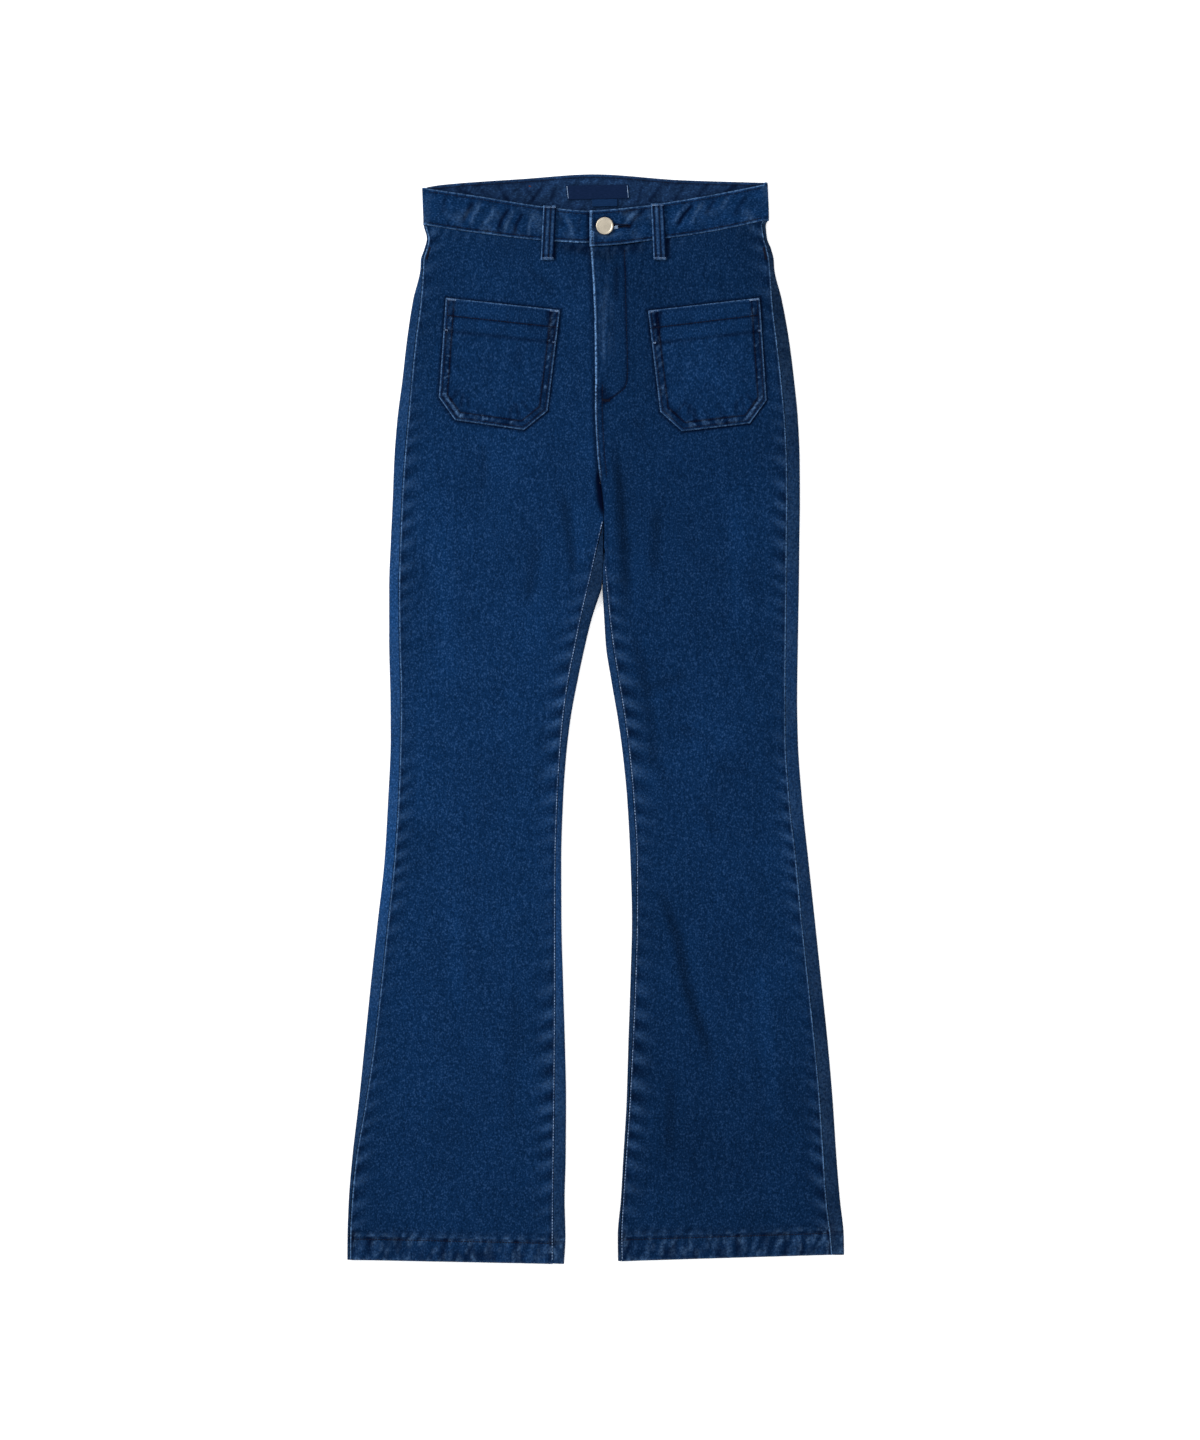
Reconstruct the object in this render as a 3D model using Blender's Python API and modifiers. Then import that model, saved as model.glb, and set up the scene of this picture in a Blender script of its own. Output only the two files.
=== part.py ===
"""Bootcut jeans laid flat on their back, front up.

The waist is towards +Y, the width runs along X and the cloth rests on z = 0.
"Left" and "right" are as seen from above. Lengths in the tables are millimetres:
"down" is measured from the top of the back waist towards the hem, "out" from the
centre line towards the side of the leg, and "x" from the centre line to the right.
"""

import math
from collections import namedtuple

import bmesh
import bpy
from mathutils import Vector

MM = 0.001

# Driving sizes, in millimetres
LENGTH = 1068.0            # back waist to hem
CLOTH = 1.2                # one layer of stretch denim
HEM_CLOTH = 1.8            # the turned-up hem
BAND_CLOTH = 2.2           # the folded waistband
LOOP_CLOTH = 1.8           # a folded belt loop
SEAM_GAP = 0.3             # between pieces at a seam
LAY_GAP = 0.45             # under a piece that lies on a panel
LEAN_GAP = 0.75            # more room for a seam that lies on a fold's arc
FOLD_RADIUS = 2.8          # where the back panel turns to the front
BAND_FOLD_RADIUS = 3.0     # where the waistband turns to the front
FOLD_SWELL = 26.0          # how far in from a fold the top cloth stands up
RELIEF_CLEAR = 14.0        # how far in from a fold the soft ridges start
REST_HEIGHT = 3.4          # top of the front cloth where the layers lie together
WAIST_HEIGHT = 4.1         # the same at the waist seam
HEM_HEIGHT = 4.5           # the same on the hem
BAND_HEIGHT = 5.0          # top of the waistband where two walls lie together
BAND_DEPTH = 37.0          # width of the waistband
OVERLAP_LIFT = 2.55        # how much higher the buttonhole end lies than the band
UNDERLAP_END = 36.0        # x of the button end of the band, under the other end
OVERLAP_RAMP = (38.0, 52.0)
FLY_UNDERLAP = 8.0         # how far the left front runs on under the fly
FLY_LIFT = CLOTH + 0.35    # how much higher the fly lies than the left front
BUTTON_X = 8.8
BUTTON_DOWN = 51.6
BUTTON_RADIUS = 8.6
BUTTONHOLE_END = 33.6      # x of the buttonhole's plain end
BUTTONHOLE_EYE = 3.1       # radius of its round end
BUTTONHOLE_SLIT = 1.4
APEX_DOWN = 405.5          # where the legs part
BAND_MIDDLE = 30.0         # down of the waistband's middle at its sides
BAND_LOW = 43.0            # its sides are straight below here

# Stretches (from, to) over which the cloth changes height or width
WAIST_FADE = (60.0, 120.0)
HEM_RISE = (985.0, 1035.0)
HEM_RISE_HEIGHT = 0.5
FLY_FADE = (204.0, 224.0)
FLY_STEPS = ((12.0, 24.0, 0.45), (29.0, 34.0, 0.55))   # in from the edge: from, to, share lost
UNDERLAP_FADE = (183.0, 201.0)
LEG_FADE = (300.0, APEX_DOWN)

SIDES = {"left": -1.0, "right": 1.0}

# Rows of the panels: down at the side seam, at the front's inner edge and at the
# inner fold or centre-back seam, and how many steps lead there from the row above.
Station = namedtuple("Station", "name steps side inner fold")
STATIONS = {
    "left": (
        Station("waist seam", 0, 50.0, 67.6, 37.0),
        Station("side tack", 4, 92.0, 123.5, 137.0),
        Station("fly end", 5, 202.0, 225.5, 270.0),
        Station("crotch", 5, 346.0, 339.0, 405.5),
        Station("thigh", 6, 554.5, 554.5, 554.5),
        Station("shin", 11, 976.0, 976.0, 976.0),
        Station("hem stitch", 2, 1040.0, 1044.5, 1044.0),
        Station("hem top", 1, 1042.5, 1047.0, 1046.5),
        Station("hem edge", 2, 1064.0, 1068.0, 1068.0),
    ),
    "right": (
        Station("waist seam", 0, 46.0, 71.5, 37.0),
        Station("side tack", 4, 92.0, 123.5, 137.0),
        Station("fly end", 5, 202.0, 225.5, 270.0),
        Station("crotch", 5, 346.0, 366.0, 405.5),
        Station("thigh", 6, 554.5, 554.5, 554.5),
        Station("shin", 11, 976.0, 976.0, 976.0),
        Station("hem stitch", 2, 1034.5, 1041.0, 1041.0),
        Station("hem top", 1, 1037.0, 1043.5, 1043.5),
        Station("hem edge", 2, 1059.0, 1065.3, 1065.0),
    ),
}
CROTCH_ROW = 14

SideEdge = namedtuple("SideEdge", "down outline seam")
SIDE_EDGE = {
    "left": (
        SideEdge(13.7, 170.2, 168.2), SideEdge(50.0, 168.6, 167.0),
        SideEdge(63.0, 165.5, 164.0), SideEdge(73.5, 168.0, 166.0),
        SideEdge(84.5, 171.5, 169.0), SideEdge(92.0, 171.8, 169.3),
        SideEdge(123.5, 179.0, 171.5), SideEdge(162.5, 185.0, 176.5),
        SideEdge(202.0, 189.5, 180.5), SideEdge(241.0, 194.5, 184.0),
        SideEdge(280.5, 197.5, 187.5), SideEdge(319.5, 199.0, 190.0),
        SideEdge(358.5, 200.8, 191.5), SideEdge(405.5, 202.5, 193.0),
        SideEdge(456.5, 202.5, 192.5), SideEdge(515.5, 201.2, 191.0),
        SideEdge(554.5, 201.0, 191.5), SideEdge(613.5, 203.5, 193.5),
        SideEdge(672.5, 207.0, 197.5), SideEdge(731.0, 213.5, 203.5),
        SideEdge(790.0, 220.0, 209.8), SideEdge(848.5, 226.0, 216.5),
        SideEdge(907.5, 232.0, 225.0), SideEdge(966.0, 238.8, 235.0),
        SideEdge(1005.5, 242.0, 238.8), SideEdge(1041.0, 243.3, 240.7),
        SideEdge(1064.0, 243.5, 241.0),
    ),
    "right": (
        SideEdge(8.3, 168.6, 165.6), SideEdge(43.0, 169.8, 166.0),
        SideEdge(50.0, 166.8, 163.3), SideEdge(63.0, 168.0, 165.0),
        SideEdge(73.5, 172.0, 168.0), SideEdge(84.5, 174.6, 170.2),
        SideEdge(92.0, 175.0, 171.0), SideEdge(123.5, 182.5, 173.0),
        SideEdge(162.5, 189.5, 177.5), SideEdge(202.0, 194.5, 182.0),
        SideEdge(241.0, 198.3, 185.5), SideEdge(280.5, 200.0, 187.5),
        SideEdge(319.5, 200.2, 188.0), SideEdge(358.5, 199.7, 187.5),
        SideEdge(405.5, 199.2, 187.0), SideEdge(456.5, 198.3, 186.5),
        SideEdge(515.5, 197.5, 186.0), SideEdge(554.5, 198.2, 186.2),
        SideEdge(613.5, 202.3, 190.0), SideEdge(672.5, 208.5, 196.5),
        SideEdge(731.0, 214.8, 202.0), SideEdge(790.0, 221.0, 208.3),
        SideEdge(848.5, 227.2, 214.5), SideEdge(907.5, 232.3, 219.8),
        SideEdge(966.0, 236.2, 223.6), SideEdge(1005.5, 239.5, 226.3),
        SideEdge(1041.0, 243.2, 230.5), SideEdge(1059.0, 243.5, 232.0),
    ),
}

InnerEdge = namedtuple("InnerEdge", "down seam outline")
INNER_EDGE = {
    "left": (
        InnerEdge(339.0, -7.6, -7.8), InnerEdge(363.5, -1.8, -8.8),
        InnerEdge(389.0, 3.6, -7.6), InnerEdge(405.5, 7.6, -6.2),
        InnerEdge(417.5, 10.4, -1.8), InnerEdge(437.0, 14.8, 4.2),
        InnerEdge(461.5, 19.7, 10.2), InnerEdge(496.0, 26.6, 17.6),
        InnerEdge(535.0, 31.9, 24.8), InnerEdge(574.5, 35.2, 29.3),
        InnerEdge(613.5, 37.4, 31.9), InnerEdge(672.5, 39.2, 33.7),
        InnerEdge(731.0, 39.5, 33.5), InnerEdge(790.0, 39.5, 32.0),
        InnerEdge(848.5, 39.8, 30.2), InnerEdge(907.5, 40.4, 29.0),
        InnerEdge(966.0, 41.1, 29.4), InnerEdge(1005.5, 41.6, 30.4),
        InnerEdge(1041.0, 41.8, 29.6), InnerEdge(1068.0, 41.8, 31.0),
    ),
    "right": (
        InnerEdge(366.0, 8.9, 8.7), InnerEdge(384.0, 8.9, 7.4),
        InnerEdge(400.0, 10.3, 6.3), InnerEdge(405.5, 10.8, 6.5),
        InnerEdge(417.5, 11.8, 7.3), InnerEdge(437.0, 13.7, 8.4),
        InnerEdge(461.5, 16.8, 9.9), InnerEdge(496.0, 22.3, 15.2),
        InnerEdge(535.0, 28.6, 21.9), InnerEdge(574.5, 33.5, 27.2),
        InnerEdge(613.5, 36.9, 30.9), InnerEdge(672.5, 40.1, 34.0),
        InnerEdge(731.0, 40.1, 35.5), InnerEdge(790.0, 38.6, 34.1),
        InnerEdge(848.5, 36.1, 32.1), InnerEdge(907.5, 33.1, 30.3),
        InnerEdge(966.0, 29.2, 26.9), InnerEdge(1005.5, 26.6, 24.6),
        InnerEdge(1041.0, 24.9, 21.6), InnerEdge(1068.0, 25.2, 21.9),
    ),
}

# The centre seams: the front rise, and below the crotch the edge between the two backs
CentreEdge = namedtuple("CentreEdge", "down x")
FRONT_RISE = (
    CentreEdge(30.0, -6.6), CentreEdge(68.5, -5.4), CentreEdge(110.0, -2.8),
    CentreEdge(152.0, -1.3), CentreEdge(202.0, -0.8), CentreEdge(225.5, -1.0),
    CentreEdge(274.5, 1.2), CentreEdge(292.0, 3.0), CentreEdge(319.5, 6.4),
    CentreEdge(339.0, 7.9), CentreEdge(352.0, 8.4), CentreEdge(370.5, 7.65),
    CentreEdge(384.0, 7.1), CentreEdge(405.5, 6.3),
)
BACK_RISE = (CentreEdge(0.0, -1.2), CentreEdge(200.0, 2.4), CentreEdge(405.5, 6.3))

# Long edges of the waistband, across the front from left to right
BandEdge = namedtuple("BandEdge", "x down")
FRONT_TOP = (
    BandEdge(-171.0, 13.6), BandEdge(-116.8, 21.6), BandEdge(-51.6, 31.9),
    BandEdge(-6.6, 36.1), BandEdge(20.0, 34.6), BandEdge(54.2, 30.4),
    BandEdge(108.1, 21.6), BandEdge(170.0, 9.6),
)
LEFT_WAIST_SEAM = (
    BandEdge(-170.0, 50.0), BandEdge(-116.8, 57.8), BandEdge(-51.6, 65.3),
    BandEdge(-8.0, 67.6), BandEdge(10.0, 67.0), BandEdge(36.0, 65.0),
)
RIGHT_WAIST_SEAM = (
    BandEdge(-5.6, 71.5), BandEdge(20.0, 69.8), BandEdge(54.2, 65.3),
    BandEdge(108.1, 57.6), BandEdge(170.0, 45.0),
)
BACK_TOP = (
    BandEdge(-171.0, 13.7), BandEdge(-150.6, 10.3), BandEdge(-70.0, 4.4),
    BandEdge(-1.7, 0.0), BandEdge(83.2, 5.7), BandEdge(168.6, 8.4),
)

# Soft ridges (height above 0) and troughs (below 0) in the top cloth, each along a line
Fold = namedtuple("Fold", "name x0 down0 x1 down1 half_width height")
FOLDS = (
    Fold("left of the crotch", -4.0, 262.0, -3.0, 345.0, 11.0, 1.3),
    Fold("right of the crotch", 14.0, 255.0, 14.0, 420.0, 12.0, 2.2),
    Fold("right thigh", 45.0, 285.0, 43.0, 440.0, 17.0, 1.1),
    Fold("right thigh, outer", 82.0, 300.0, 76.0, 410.0, 20.0, 0.8),
    Fold("left inner thigh", -18.0, 310.0, -12.0, 400.0, 12.0, 1.5),
    Fold("left thigh", -47.0, 330.0, -50.0, 440.0, 16.0, 1.0),
    Fold("left thigh, outer", -95.0, 240.0, -92.0, 400.0, 24.0, 0.8),
    Fold("left hip", -75.0, 78.0, -33.0, 120.0, 14.0, 0.7),
    Fold("right knee", 48.0, 520.0, 66.0, 640.0, 14.0, 0.9),
    Fold("left knee", -92.0, 500.0, -60.0, 590.0, 20.0, 0.8),
    Fold("right shin", 92.0, 720.0, 128.0, 930.0, 18.0, 1.4),
    Fold("right ankle", 84.0, 880.0, 88.0, 1000.0, 12.0, 0.8),
    Fold("left shin", -120.0, 800.0, -116.0, 940.0, 22.0, 0.8),
)

# Patch pockets: distance across the mouth and down the sides
PocketRow = namedtuple("PocketRow", "x_left down_left x_right down_right steps")
POCKETS = {
    "left": (
        PocketRow(-146.7, 121.5, -35.0, 133.6, 0),
        PocketRow(-148.0, 151.6, -40.6, 164.0, 2),
        PocketRow(-148.3, 153.6, -40.9, 166.0, 1),
        PocketRow(-153.6, 218.9, -47.3, 232.3, 3),
        PocketRow(-137.7, 241.2, -70.3, 250.9, 1),
    ),
    "right": (
        PocketRow(51.3, 134.1, 160.5, 121.5, 0),
        PocketRow(55.6, 164.6, 161.4, 154.6, 2),
        PocketRow(55.9, 166.6, 161.5, 156.6, 1),
        PocketRow(63.2, 233.0, 167.3, 221.8, 3),
        PocketRow(84.6, 252.2, 150.9, 244.3, 1),
    ),
}
POCKET_MOUTH_ROW = 2       # rows above this one are the doubled hem of the mouth
POCKET_HEM_LIFT = 0.8      # how much thicker that hem is
POCKET_COLUMNS = 8

Loop = namedtuple("Loop", "x_top x_bottom half_width top bottom")
LOOPS = {
    "left": Loop(-44.8, -47.4, 5.9, 31.4, 84.4),
    "right": Loop(60.5, 63.2, 5.9, 29.4, 84.4),
}
LOOP_BULGE = 0.9           # how far a loop stands off the band
LOOP_CROWN = 0.15          # how much higher its middle is than its edges

DENIM = (0.018, 0.045, 0.115, 1.0)
DENIM_DARK = (0.014, 0.034, 0.085, 1.0)
METAL = (0.62, 0.58, 0.52, 1.0)
WOVEN_LABEL = (0.012, 0.018, 0.05, 1.0)


def smoothstep(value):
    """Ease from 0 to 1 as value goes from 0 to 1."""
    t = min(max(value, 0.0), 1.0)
    return t * t * (3.0 - 2.0 * t)


def ramp(value, start, end):
    """Ease from 0 to 1 as value goes from start to end."""
    return smoothstep((value - start) / (end - start))


def mix(a, b, t):
    """Return the value at share t of the way from a to b."""
    return a + (b - a) * t


def spread(start, end, steps):
    """List steps + 1 evenly spaced values from start to end."""
    return [mix(start, end, n / steps) for n in range(steps + 1)]


def curve_through(rows, key, value):
    """Return a smooth function through the rows' points, without overshoot."""
    keys = [getattr(row, key) for row in rows]
    values = [getattr(row, value) for row in rows]
    slopes = [(values[i + 1] - values[i]) / (keys[i + 1] - keys[i]) for i in range(len(keys) - 1)]
    tangents = [slopes[0]]
    for before, after in zip(slopes, slopes[1:]):
        same_way = before * after > 0.0
        tangents.append(2.0 * before * after / (before + after) if same_way else 0.0)
    tangents.append(slopes[-1])

    def curve(at):
        if at <= keys[0]:
            return values[0] + slopes[0] * (at - keys[0])
        if at >= keys[-1]:
            return values[-1] + slopes[-1] * (at - keys[-1])
        i = max(n for n, k in enumerate(keys) if k <= at)
        span = keys[i + 1] - keys[i]
        t = (at - keys[i]) / span
        start = (1.0 + 2.0 * t) * (1.0 - t) ** 2 * values[i] + t * (1.0 - t) ** 2 * span * tangents[i]
        end = t * t * (3.0 - 2.0 * t) * values[i + 1] + t * t * (t - 1.0) * span * tangents[i + 1]
        return start + end

    return curve


front_rise = curve_through(FRONT_RISE, "down", "x")
back_rise = curve_through(BACK_RISE, "down", "x")
front_top = curve_through(FRONT_TOP, "x", "down")
back_top = curve_through(BACK_TOP, "x", "down")
WAIST_SEAM = {
    "left": curve_through(LEFT_WAIST_SEAM, "x", "down"),
    "right": curve_through(RIGHT_WAIST_SEAM, "x", "down"),
}
OUTLINE = {side: curve_through(rows, "down", "outline") for side, rows in SIDE_EDGE.items()}
SIDE_SEAM = {side: curve_through(rows, "down", "seam") for side, rows in SIDE_EDGE.items()}
INSEAM = {side: curve_through(rows, "down", "seam") for side, rows in INNER_EDGE.items()}
INNER_OUTLINE = {side: curve_through(rows, "down", "outline") for side, rows in INNER_EDGE.items()}


def place(x, down, z):
    """Turn table millimetres into a point in metres."""
    return Vector((x * MM, (LENGTH / 2.0 - down) * MM, z * MM))


def rows_of(side):
    """List (down at the side, down at the inner edge, down at the fold) for each row."""
    stations = STATIONS[side]
    rows = [(stations[0].side, stations[0].inner, stations[0].fold)]
    for above, here in zip(stations, stations[1:]):
        for step in range(1, here.steps + 1):
            t = step / here.steps
            rows.append((
                mix(above.side, here.side, t),
                mix(above.inner, here.inner, t),
                mix(above.fold, here.fold, t),
            ))
    return rows


def hem_share(side, down, across):
    """0 above the hem's stitch line, 1 on the hem; across is 0 at the side, 1 inside."""
    stations = {station.name: station for station in STATIONS[side]}
    start = mix(stations["hem stitch"].side, stations["hem stitch"].inner, across)
    end = mix(stations["hem top"].side, stations["hem top"].inner, across)
    return ramp(down, start, end)


def rest_height(side, down, across):
    """Height of the top cloth away from folds."""
    height = mix(WAIST_HEIGHT, REST_HEIGHT, ramp(down, *WAIST_FADE))
    height += HEM_RISE_HEIGHT * ramp(down, *HEM_RISE)
    return mix(height, HEM_HEIGHT, hem_share(side, down, across))


def fold_relief(x, down):
    """Sum of the soft ridges at a point."""
    relief = 0.0
    for fold in FOLDS:
        along_x = fold.x1 - fold.x0
        along_down = fold.down1 - fold.down0
        reach = along_x ** 2 + along_down ** 2
        t = ((x - fold.x0) * along_x + (down - fold.down0) * along_down) / reach
        if not 0.0 < t < 1.0:
            continue
        miss_x = x - fold.x0 - t * along_x
        miss_down = down - fold.down0 - t * along_down
        miss = math.hypot(miss_x, miss_down) / fold.half_width
        if miss < 1.0:
            ends = smoothstep(4.0 * t) * smoothstep(4.0 * (1.0 - t))
            relief += fold.height * ends * math.cos(miss * math.pi / 2.0) ** 2
    return relief


def inner_limit(side, down):
    """Out of the inner fold below the crotch, and of the centre line above it."""
    if down >= APEX_DOWN:
        return INNER_OUTLINE[side](down)
    return SIDES[side] * front_rise(down)


def fly_lift(x, down):
    """How much the fly's extra layers raise the right front."""
    across = x - front_rise(down)
    share = 1.0
    for start, end, drop in FLY_STEPS:
        share -= drop * ramp(across, start, end)
    return FLY_LIFT * share * (1.0 - ramp(down, *FLY_FADE))


def cloth_height(side, out, down):
    """Height of the top cloth's outer face; past a fold's crown it falls on the fold's arc."""
    crown = 2.0 * FOLD_RADIUS
    from_side = OUTLINE[side](down) - out
    from_inside = out - inner_limit(side, down)
    across = from_side / max(from_side + from_inside, 1.0)
    rest = rest_height(side, down, across)
    swell = (FOLD_RADIUS, FOLD_RADIUS + FOLD_SWELL)
    share_side = 1.0 - ramp(from_side, *swell)
    share_inside = (1.0 - ramp(from_inside, *swell)) * ramp(down, *LEG_FADE)
    height = rest + (crown - rest) * min(share_side + share_inside, 1.0)
    clear = (FOLD_RADIUS, FOLD_RADIUS + RELIEF_CLEAR)
    clear_of_fold = ramp(from_side, *clear)
    if down >= APEX_DOWN:
        clear_of_fold *= ramp(from_inside, *clear)
    x = SIDES[side] * out
    height += fold_relief(x, down) * clear_of_fold
    if side == "right":
        height += fly_lift(x, down)
    if from_side < FOLD_RADIUS:
        miss = 1.0 - max(from_side, 0.0) / FOLD_RADIUS
        height = FOLD_RADIUS + (height - FOLD_RADIUS) * math.sqrt(1.0 - miss * miss)
    return height


def front_height(x, down):
    """Height of the front's outer face on whichever side x lies."""
    side = "right" if x > front_rise(down) else "left"
    return cloth_height(side, SIDES[side] * x, down)


# ---------------------------------------------------------------- meshes and materials

def material(name, colour, roughness, metallic):
    """Make a plain Principled BSDF material."""
    result = bpy.data.materials.new(name)
    result.use_nodes = True
    shader = result.node_tree.nodes["Principled BSDF"]
    shader.inputs["Base Color"].default_value = colour
    shader.inputs["Roughness"].default_value = roughness
    shader.inputs["Metallic"].default_value = metallic
    result.diffuse_color = colour
    return result


def add_object(name, mesh, finish, collection):
    """Put a mesh into the scene as a named object."""
    piece = bpy.data.objects.new(name, mesh)
    piece.data.materials.append(finish)
    collection.objects.link(piece)
    return piece


def cloth(name, grid, thickness, face_up, finish, collection, wall=None):
    """Make a shell from a grid of outer points; wall gives a thickness for each point.

    Rows of the grid may end early. The cloth grows inwards from the outer points,
    and face_up says which way the widest face looks.
    """
    mesh = bpy.data.meshes.new(name)
    build = bmesh.new()
    verts = [[build.verts.new(point) for point in row] for row in grid]
    for row, below in zip(verts, verts[1:]):
        for i in range(min(len(row), len(below)) - 1):
            build.faces.new((row[i], row[i + 1], below[i + 1], below[i]))
    build.normal_update()
    widest = max(build.faces, key=lambda face: abs(face.normal.z) * face.calc_area())
    if (widest.normal.z > 0.0) != face_up:
        bmesh.ops.reverse_faces(build, faces=build.faces)
    build.verts.index_update()
    build.to_mesh(mesh)
    build.free()
    piece = add_object(name, mesh, finish, collection)
    for polygon in mesh.polygons:
        polygon.use_smooth = True
    solidify = piece.modifiers.new("wall", "SOLIDIFY")
    solidify.thickness = thickness * MM
    solidify.offset = -1.0
    solidify.use_even_offset = True
    solidify.use_quality_normals = True
    if wall:
        group = piece.vertex_groups.new(name="wall")
        weights = [share for row in wall for share in row]
        for index, share in enumerate(weights):
            group.add([index], share, "REPLACE")
        solidify.vertex_group = "wall"
    return piece


# ---------------------------------------------------------------- panels

EDGE_COLUMNS = (0.0, 1.6, 6.0, 15.0)              # in from each edge of a front panel
MIDDLE_COLUMNS = (0.18, 0.38, 0.56, 0.73, 0.88)   # shares of the way between the last two
SEAM_ROWS = 5                                     # rows that bend to follow the waist seam


def front_columns(width):
    """Places of a front panel's columns, as shares of its width there."""
    edge = [distance / width for distance in EDGE_COLUMNS]
    middle = [mix(edge[-1], 1.0 - edge[-1], share) for share in MIDDLE_COLUMNS]
    return edge + middle + [1.0 - share for share in reversed(edge)]


def front_inner_edge(side, row, down):
    """Out of the front's inner edge: the centre-front seam, then the inseam."""
    sign = SIDES[side]
    half_gap = SEAM_GAP / 2.0
    if row > CROTCH_ROW:
        return INSEAM[side](down) + half_gap
    edge = sign * front_rise(down) + half_gap
    if side == "left":
        on_fly = 1.0 - ramp(down, *UNDERLAP_FADE)
        edge -= (FLY_UNDERLAP + half_gap) * on_fly
    return edge


def front_panel(side, finish, collection):
    """One front, from its side seam to the centre front and the inseam."""
    sign = SIDES[side]
    seam_at = WAIST_SEAM[side]
    rows = rows_of(side)
    grid = []
    wall = []
    top_side, top_inner = rows[0][0], rows[0][1]
    for number, (side_down, inner_down, _) in enumerate(rows):
        outer = SIDE_SEAM[side](side_down) - SEAM_GAP / 2.0
        inner = front_inner_edge(side, number, inner_down)
        follow = 1.0 - smoothstep(number / SEAM_ROWS)
        points = []
        shares = []
        for across in front_columns(outer - inner):
            out = mix(outer, inner, across)
            straight = mix(top_side, top_inner, across)
            dip = (seam_at(sign * out) + SEAM_GAP / 2.0 - straight) * follow
            down = mix(side_down, inner_down, across) + dip
            points.append(place(sign * out, down, cloth_height(side, out, down)))
            shares.append(mix(CLOTH, HEM_CLOTH, hem_share(side, down, across)) / HEM_CLOTH)
        grid.append(points)
        wall.append(shares)
    return cloth("front_panel_" + side, grid, HEM_CLOTH, True, finish, collection, wall)


ARC_LOW = (-90.0, -45.0, 0.0)                     # degrees round the lower half of a fold
QUARTER = math.pi / 2.0
UNDERSIDE_COLUMNS = (0.15, 0.42, 0.72)            # shares of the way across the back
CENTRE_COLUMNS = (1.0, 0.3, 0.0)                  # fold radii in from the centre-back seam
CROTCH_TIP = 5.5                                  # from the crossing of the seams


def above_fold(side, out, down, distance):
    """Height at a distance in from a fold's edge, on its arc or past it."""
    if distance >= FOLD_RADIUS:
        return cloth_height(side, out, down)
    miss = 1.0 - max(distance, 0.0) / FOLD_RADIUS
    return FOLD_RADIUS * (1.0 + math.sqrt(1.0 - miss * miss))


def upper_distances(seam_distance):
    """Four distances in from a fold's edge, over its upper arc to the seam.

    A seam on the arc keeps more room, because the wall leans there.
    """
    radius = FOLD_RADIUS
    seam_distance -= LEAN_GAP * (1.0 - smoothstep(seam_distance - radius))
    if seam_distance - radius > 0.6:
        half_way = radius * (1.0 - math.cos(QUARTER / 2.0))
        return (half_way, radius, mix(radius, seam_distance, 0.5), seam_distance)
    beyond = max(seam_distance - radius, 0.0)
    on_arc = math.acos(1.0 - min(seam_distance, radius) / radius) * radius + beyond
    distances = []
    for share in (0.25, 0.5, 0.75, 1.0):
        run = share * on_arc
        arc = min(run, QUARTER * radius)
        distances.append(radius * (1.0 - math.cos(arc / radius)) + run - arc)
    return distances


def fold_points(side, edge, inward, seam_distance):
    """Points (out, down, z) from under a fold, round it and on to a seam on the top side.

    edge is (out, down) on the outline, inward the unit direction into the leg there.
    """
    places = []
    for degrees in ARC_LOW:
        angle = math.radians(degrees)
        places.append((FOLD_RADIUS * (1.0 - math.cos(angle)), FOLD_RADIUS * (1.0 + math.sin(angle))))
    points = [(edge[0] + inward[0] * d, edge[1] + inward[1] * d, z) for d, z in places]
    for distance in upper_distances(seam_distance):
        out = edge[0] + inward[0] * distance
        down = edge[1] + inward[1] * distance
        points.append((out, down, above_fold(side, out, down, distance)))
    return points


def back_top_edge(side, out, z):
    """Down of the back panel's top edge, under the band at the back and on the front."""
    x = SIDES[side] * out
    edge = back_bottom(x)
    if z > FOLD_RADIUS:
        edge = max(edge, WAIST_SEAM[side](x)) + 0.2
    return edge + SEAM_GAP / 2.0


def back_panel(side, finish, collection):
    """One back, wrapped round its leg's folds up to the seams on the top side."""
    sign = SIDES[side]
    half_gap = SEAM_GAP / 2.0
    rows = rows_of(side)
    grid = []
    wall = []
    for number, (side_down, inner_down, fold_down) in enumerate(rows):
        outline = OUTLINE[side](side_down)
        seam_distance = outline - SIDE_SEAM[side](side_down) - half_gap
        outer = fold_points(side, (outline, side_down), (-1.0, 0.0), seam_distance)
        if number < CROTCH_ROW:
            edge_out = sign * back_rise(fold_down) + half_gap
            inner = [(edge_out + FOLD_RADIUS * s, fold_down, 0.0) for s in CENTRE_COLUMNS]
        elif number == CROTCH_ROW:
            inner = crotch_points(side, fold_down, inner_down)
        else:
            inner = leg_inner_points(side, fold_down, inner_down)
        start, end = outer[0], inner[0]
        bottom = [(mix(start[0], end[0], t), mix(start[1], end[1], t), 0.0) for t in UNDERSIDE_COLUMNS]
        points = list(reversed(outer)) + bottom + inner
        if number == 0:
            points = [(out, back_top_edge(side, out, z), z) for out, _, z in points]
        hem = hem_share(side, side_down, 0.0)
        share = mix(CLOTH, HEM_CLOTH, hem) / HEM_CLOTH
        grid.append([place(sign * out, down, z) for out, down, z in points])
        wall.append([share] * len(points))
    return cloth("back_panel_" + side, grid, HEM_CLOTH, False, finish, collection, wall)


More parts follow.
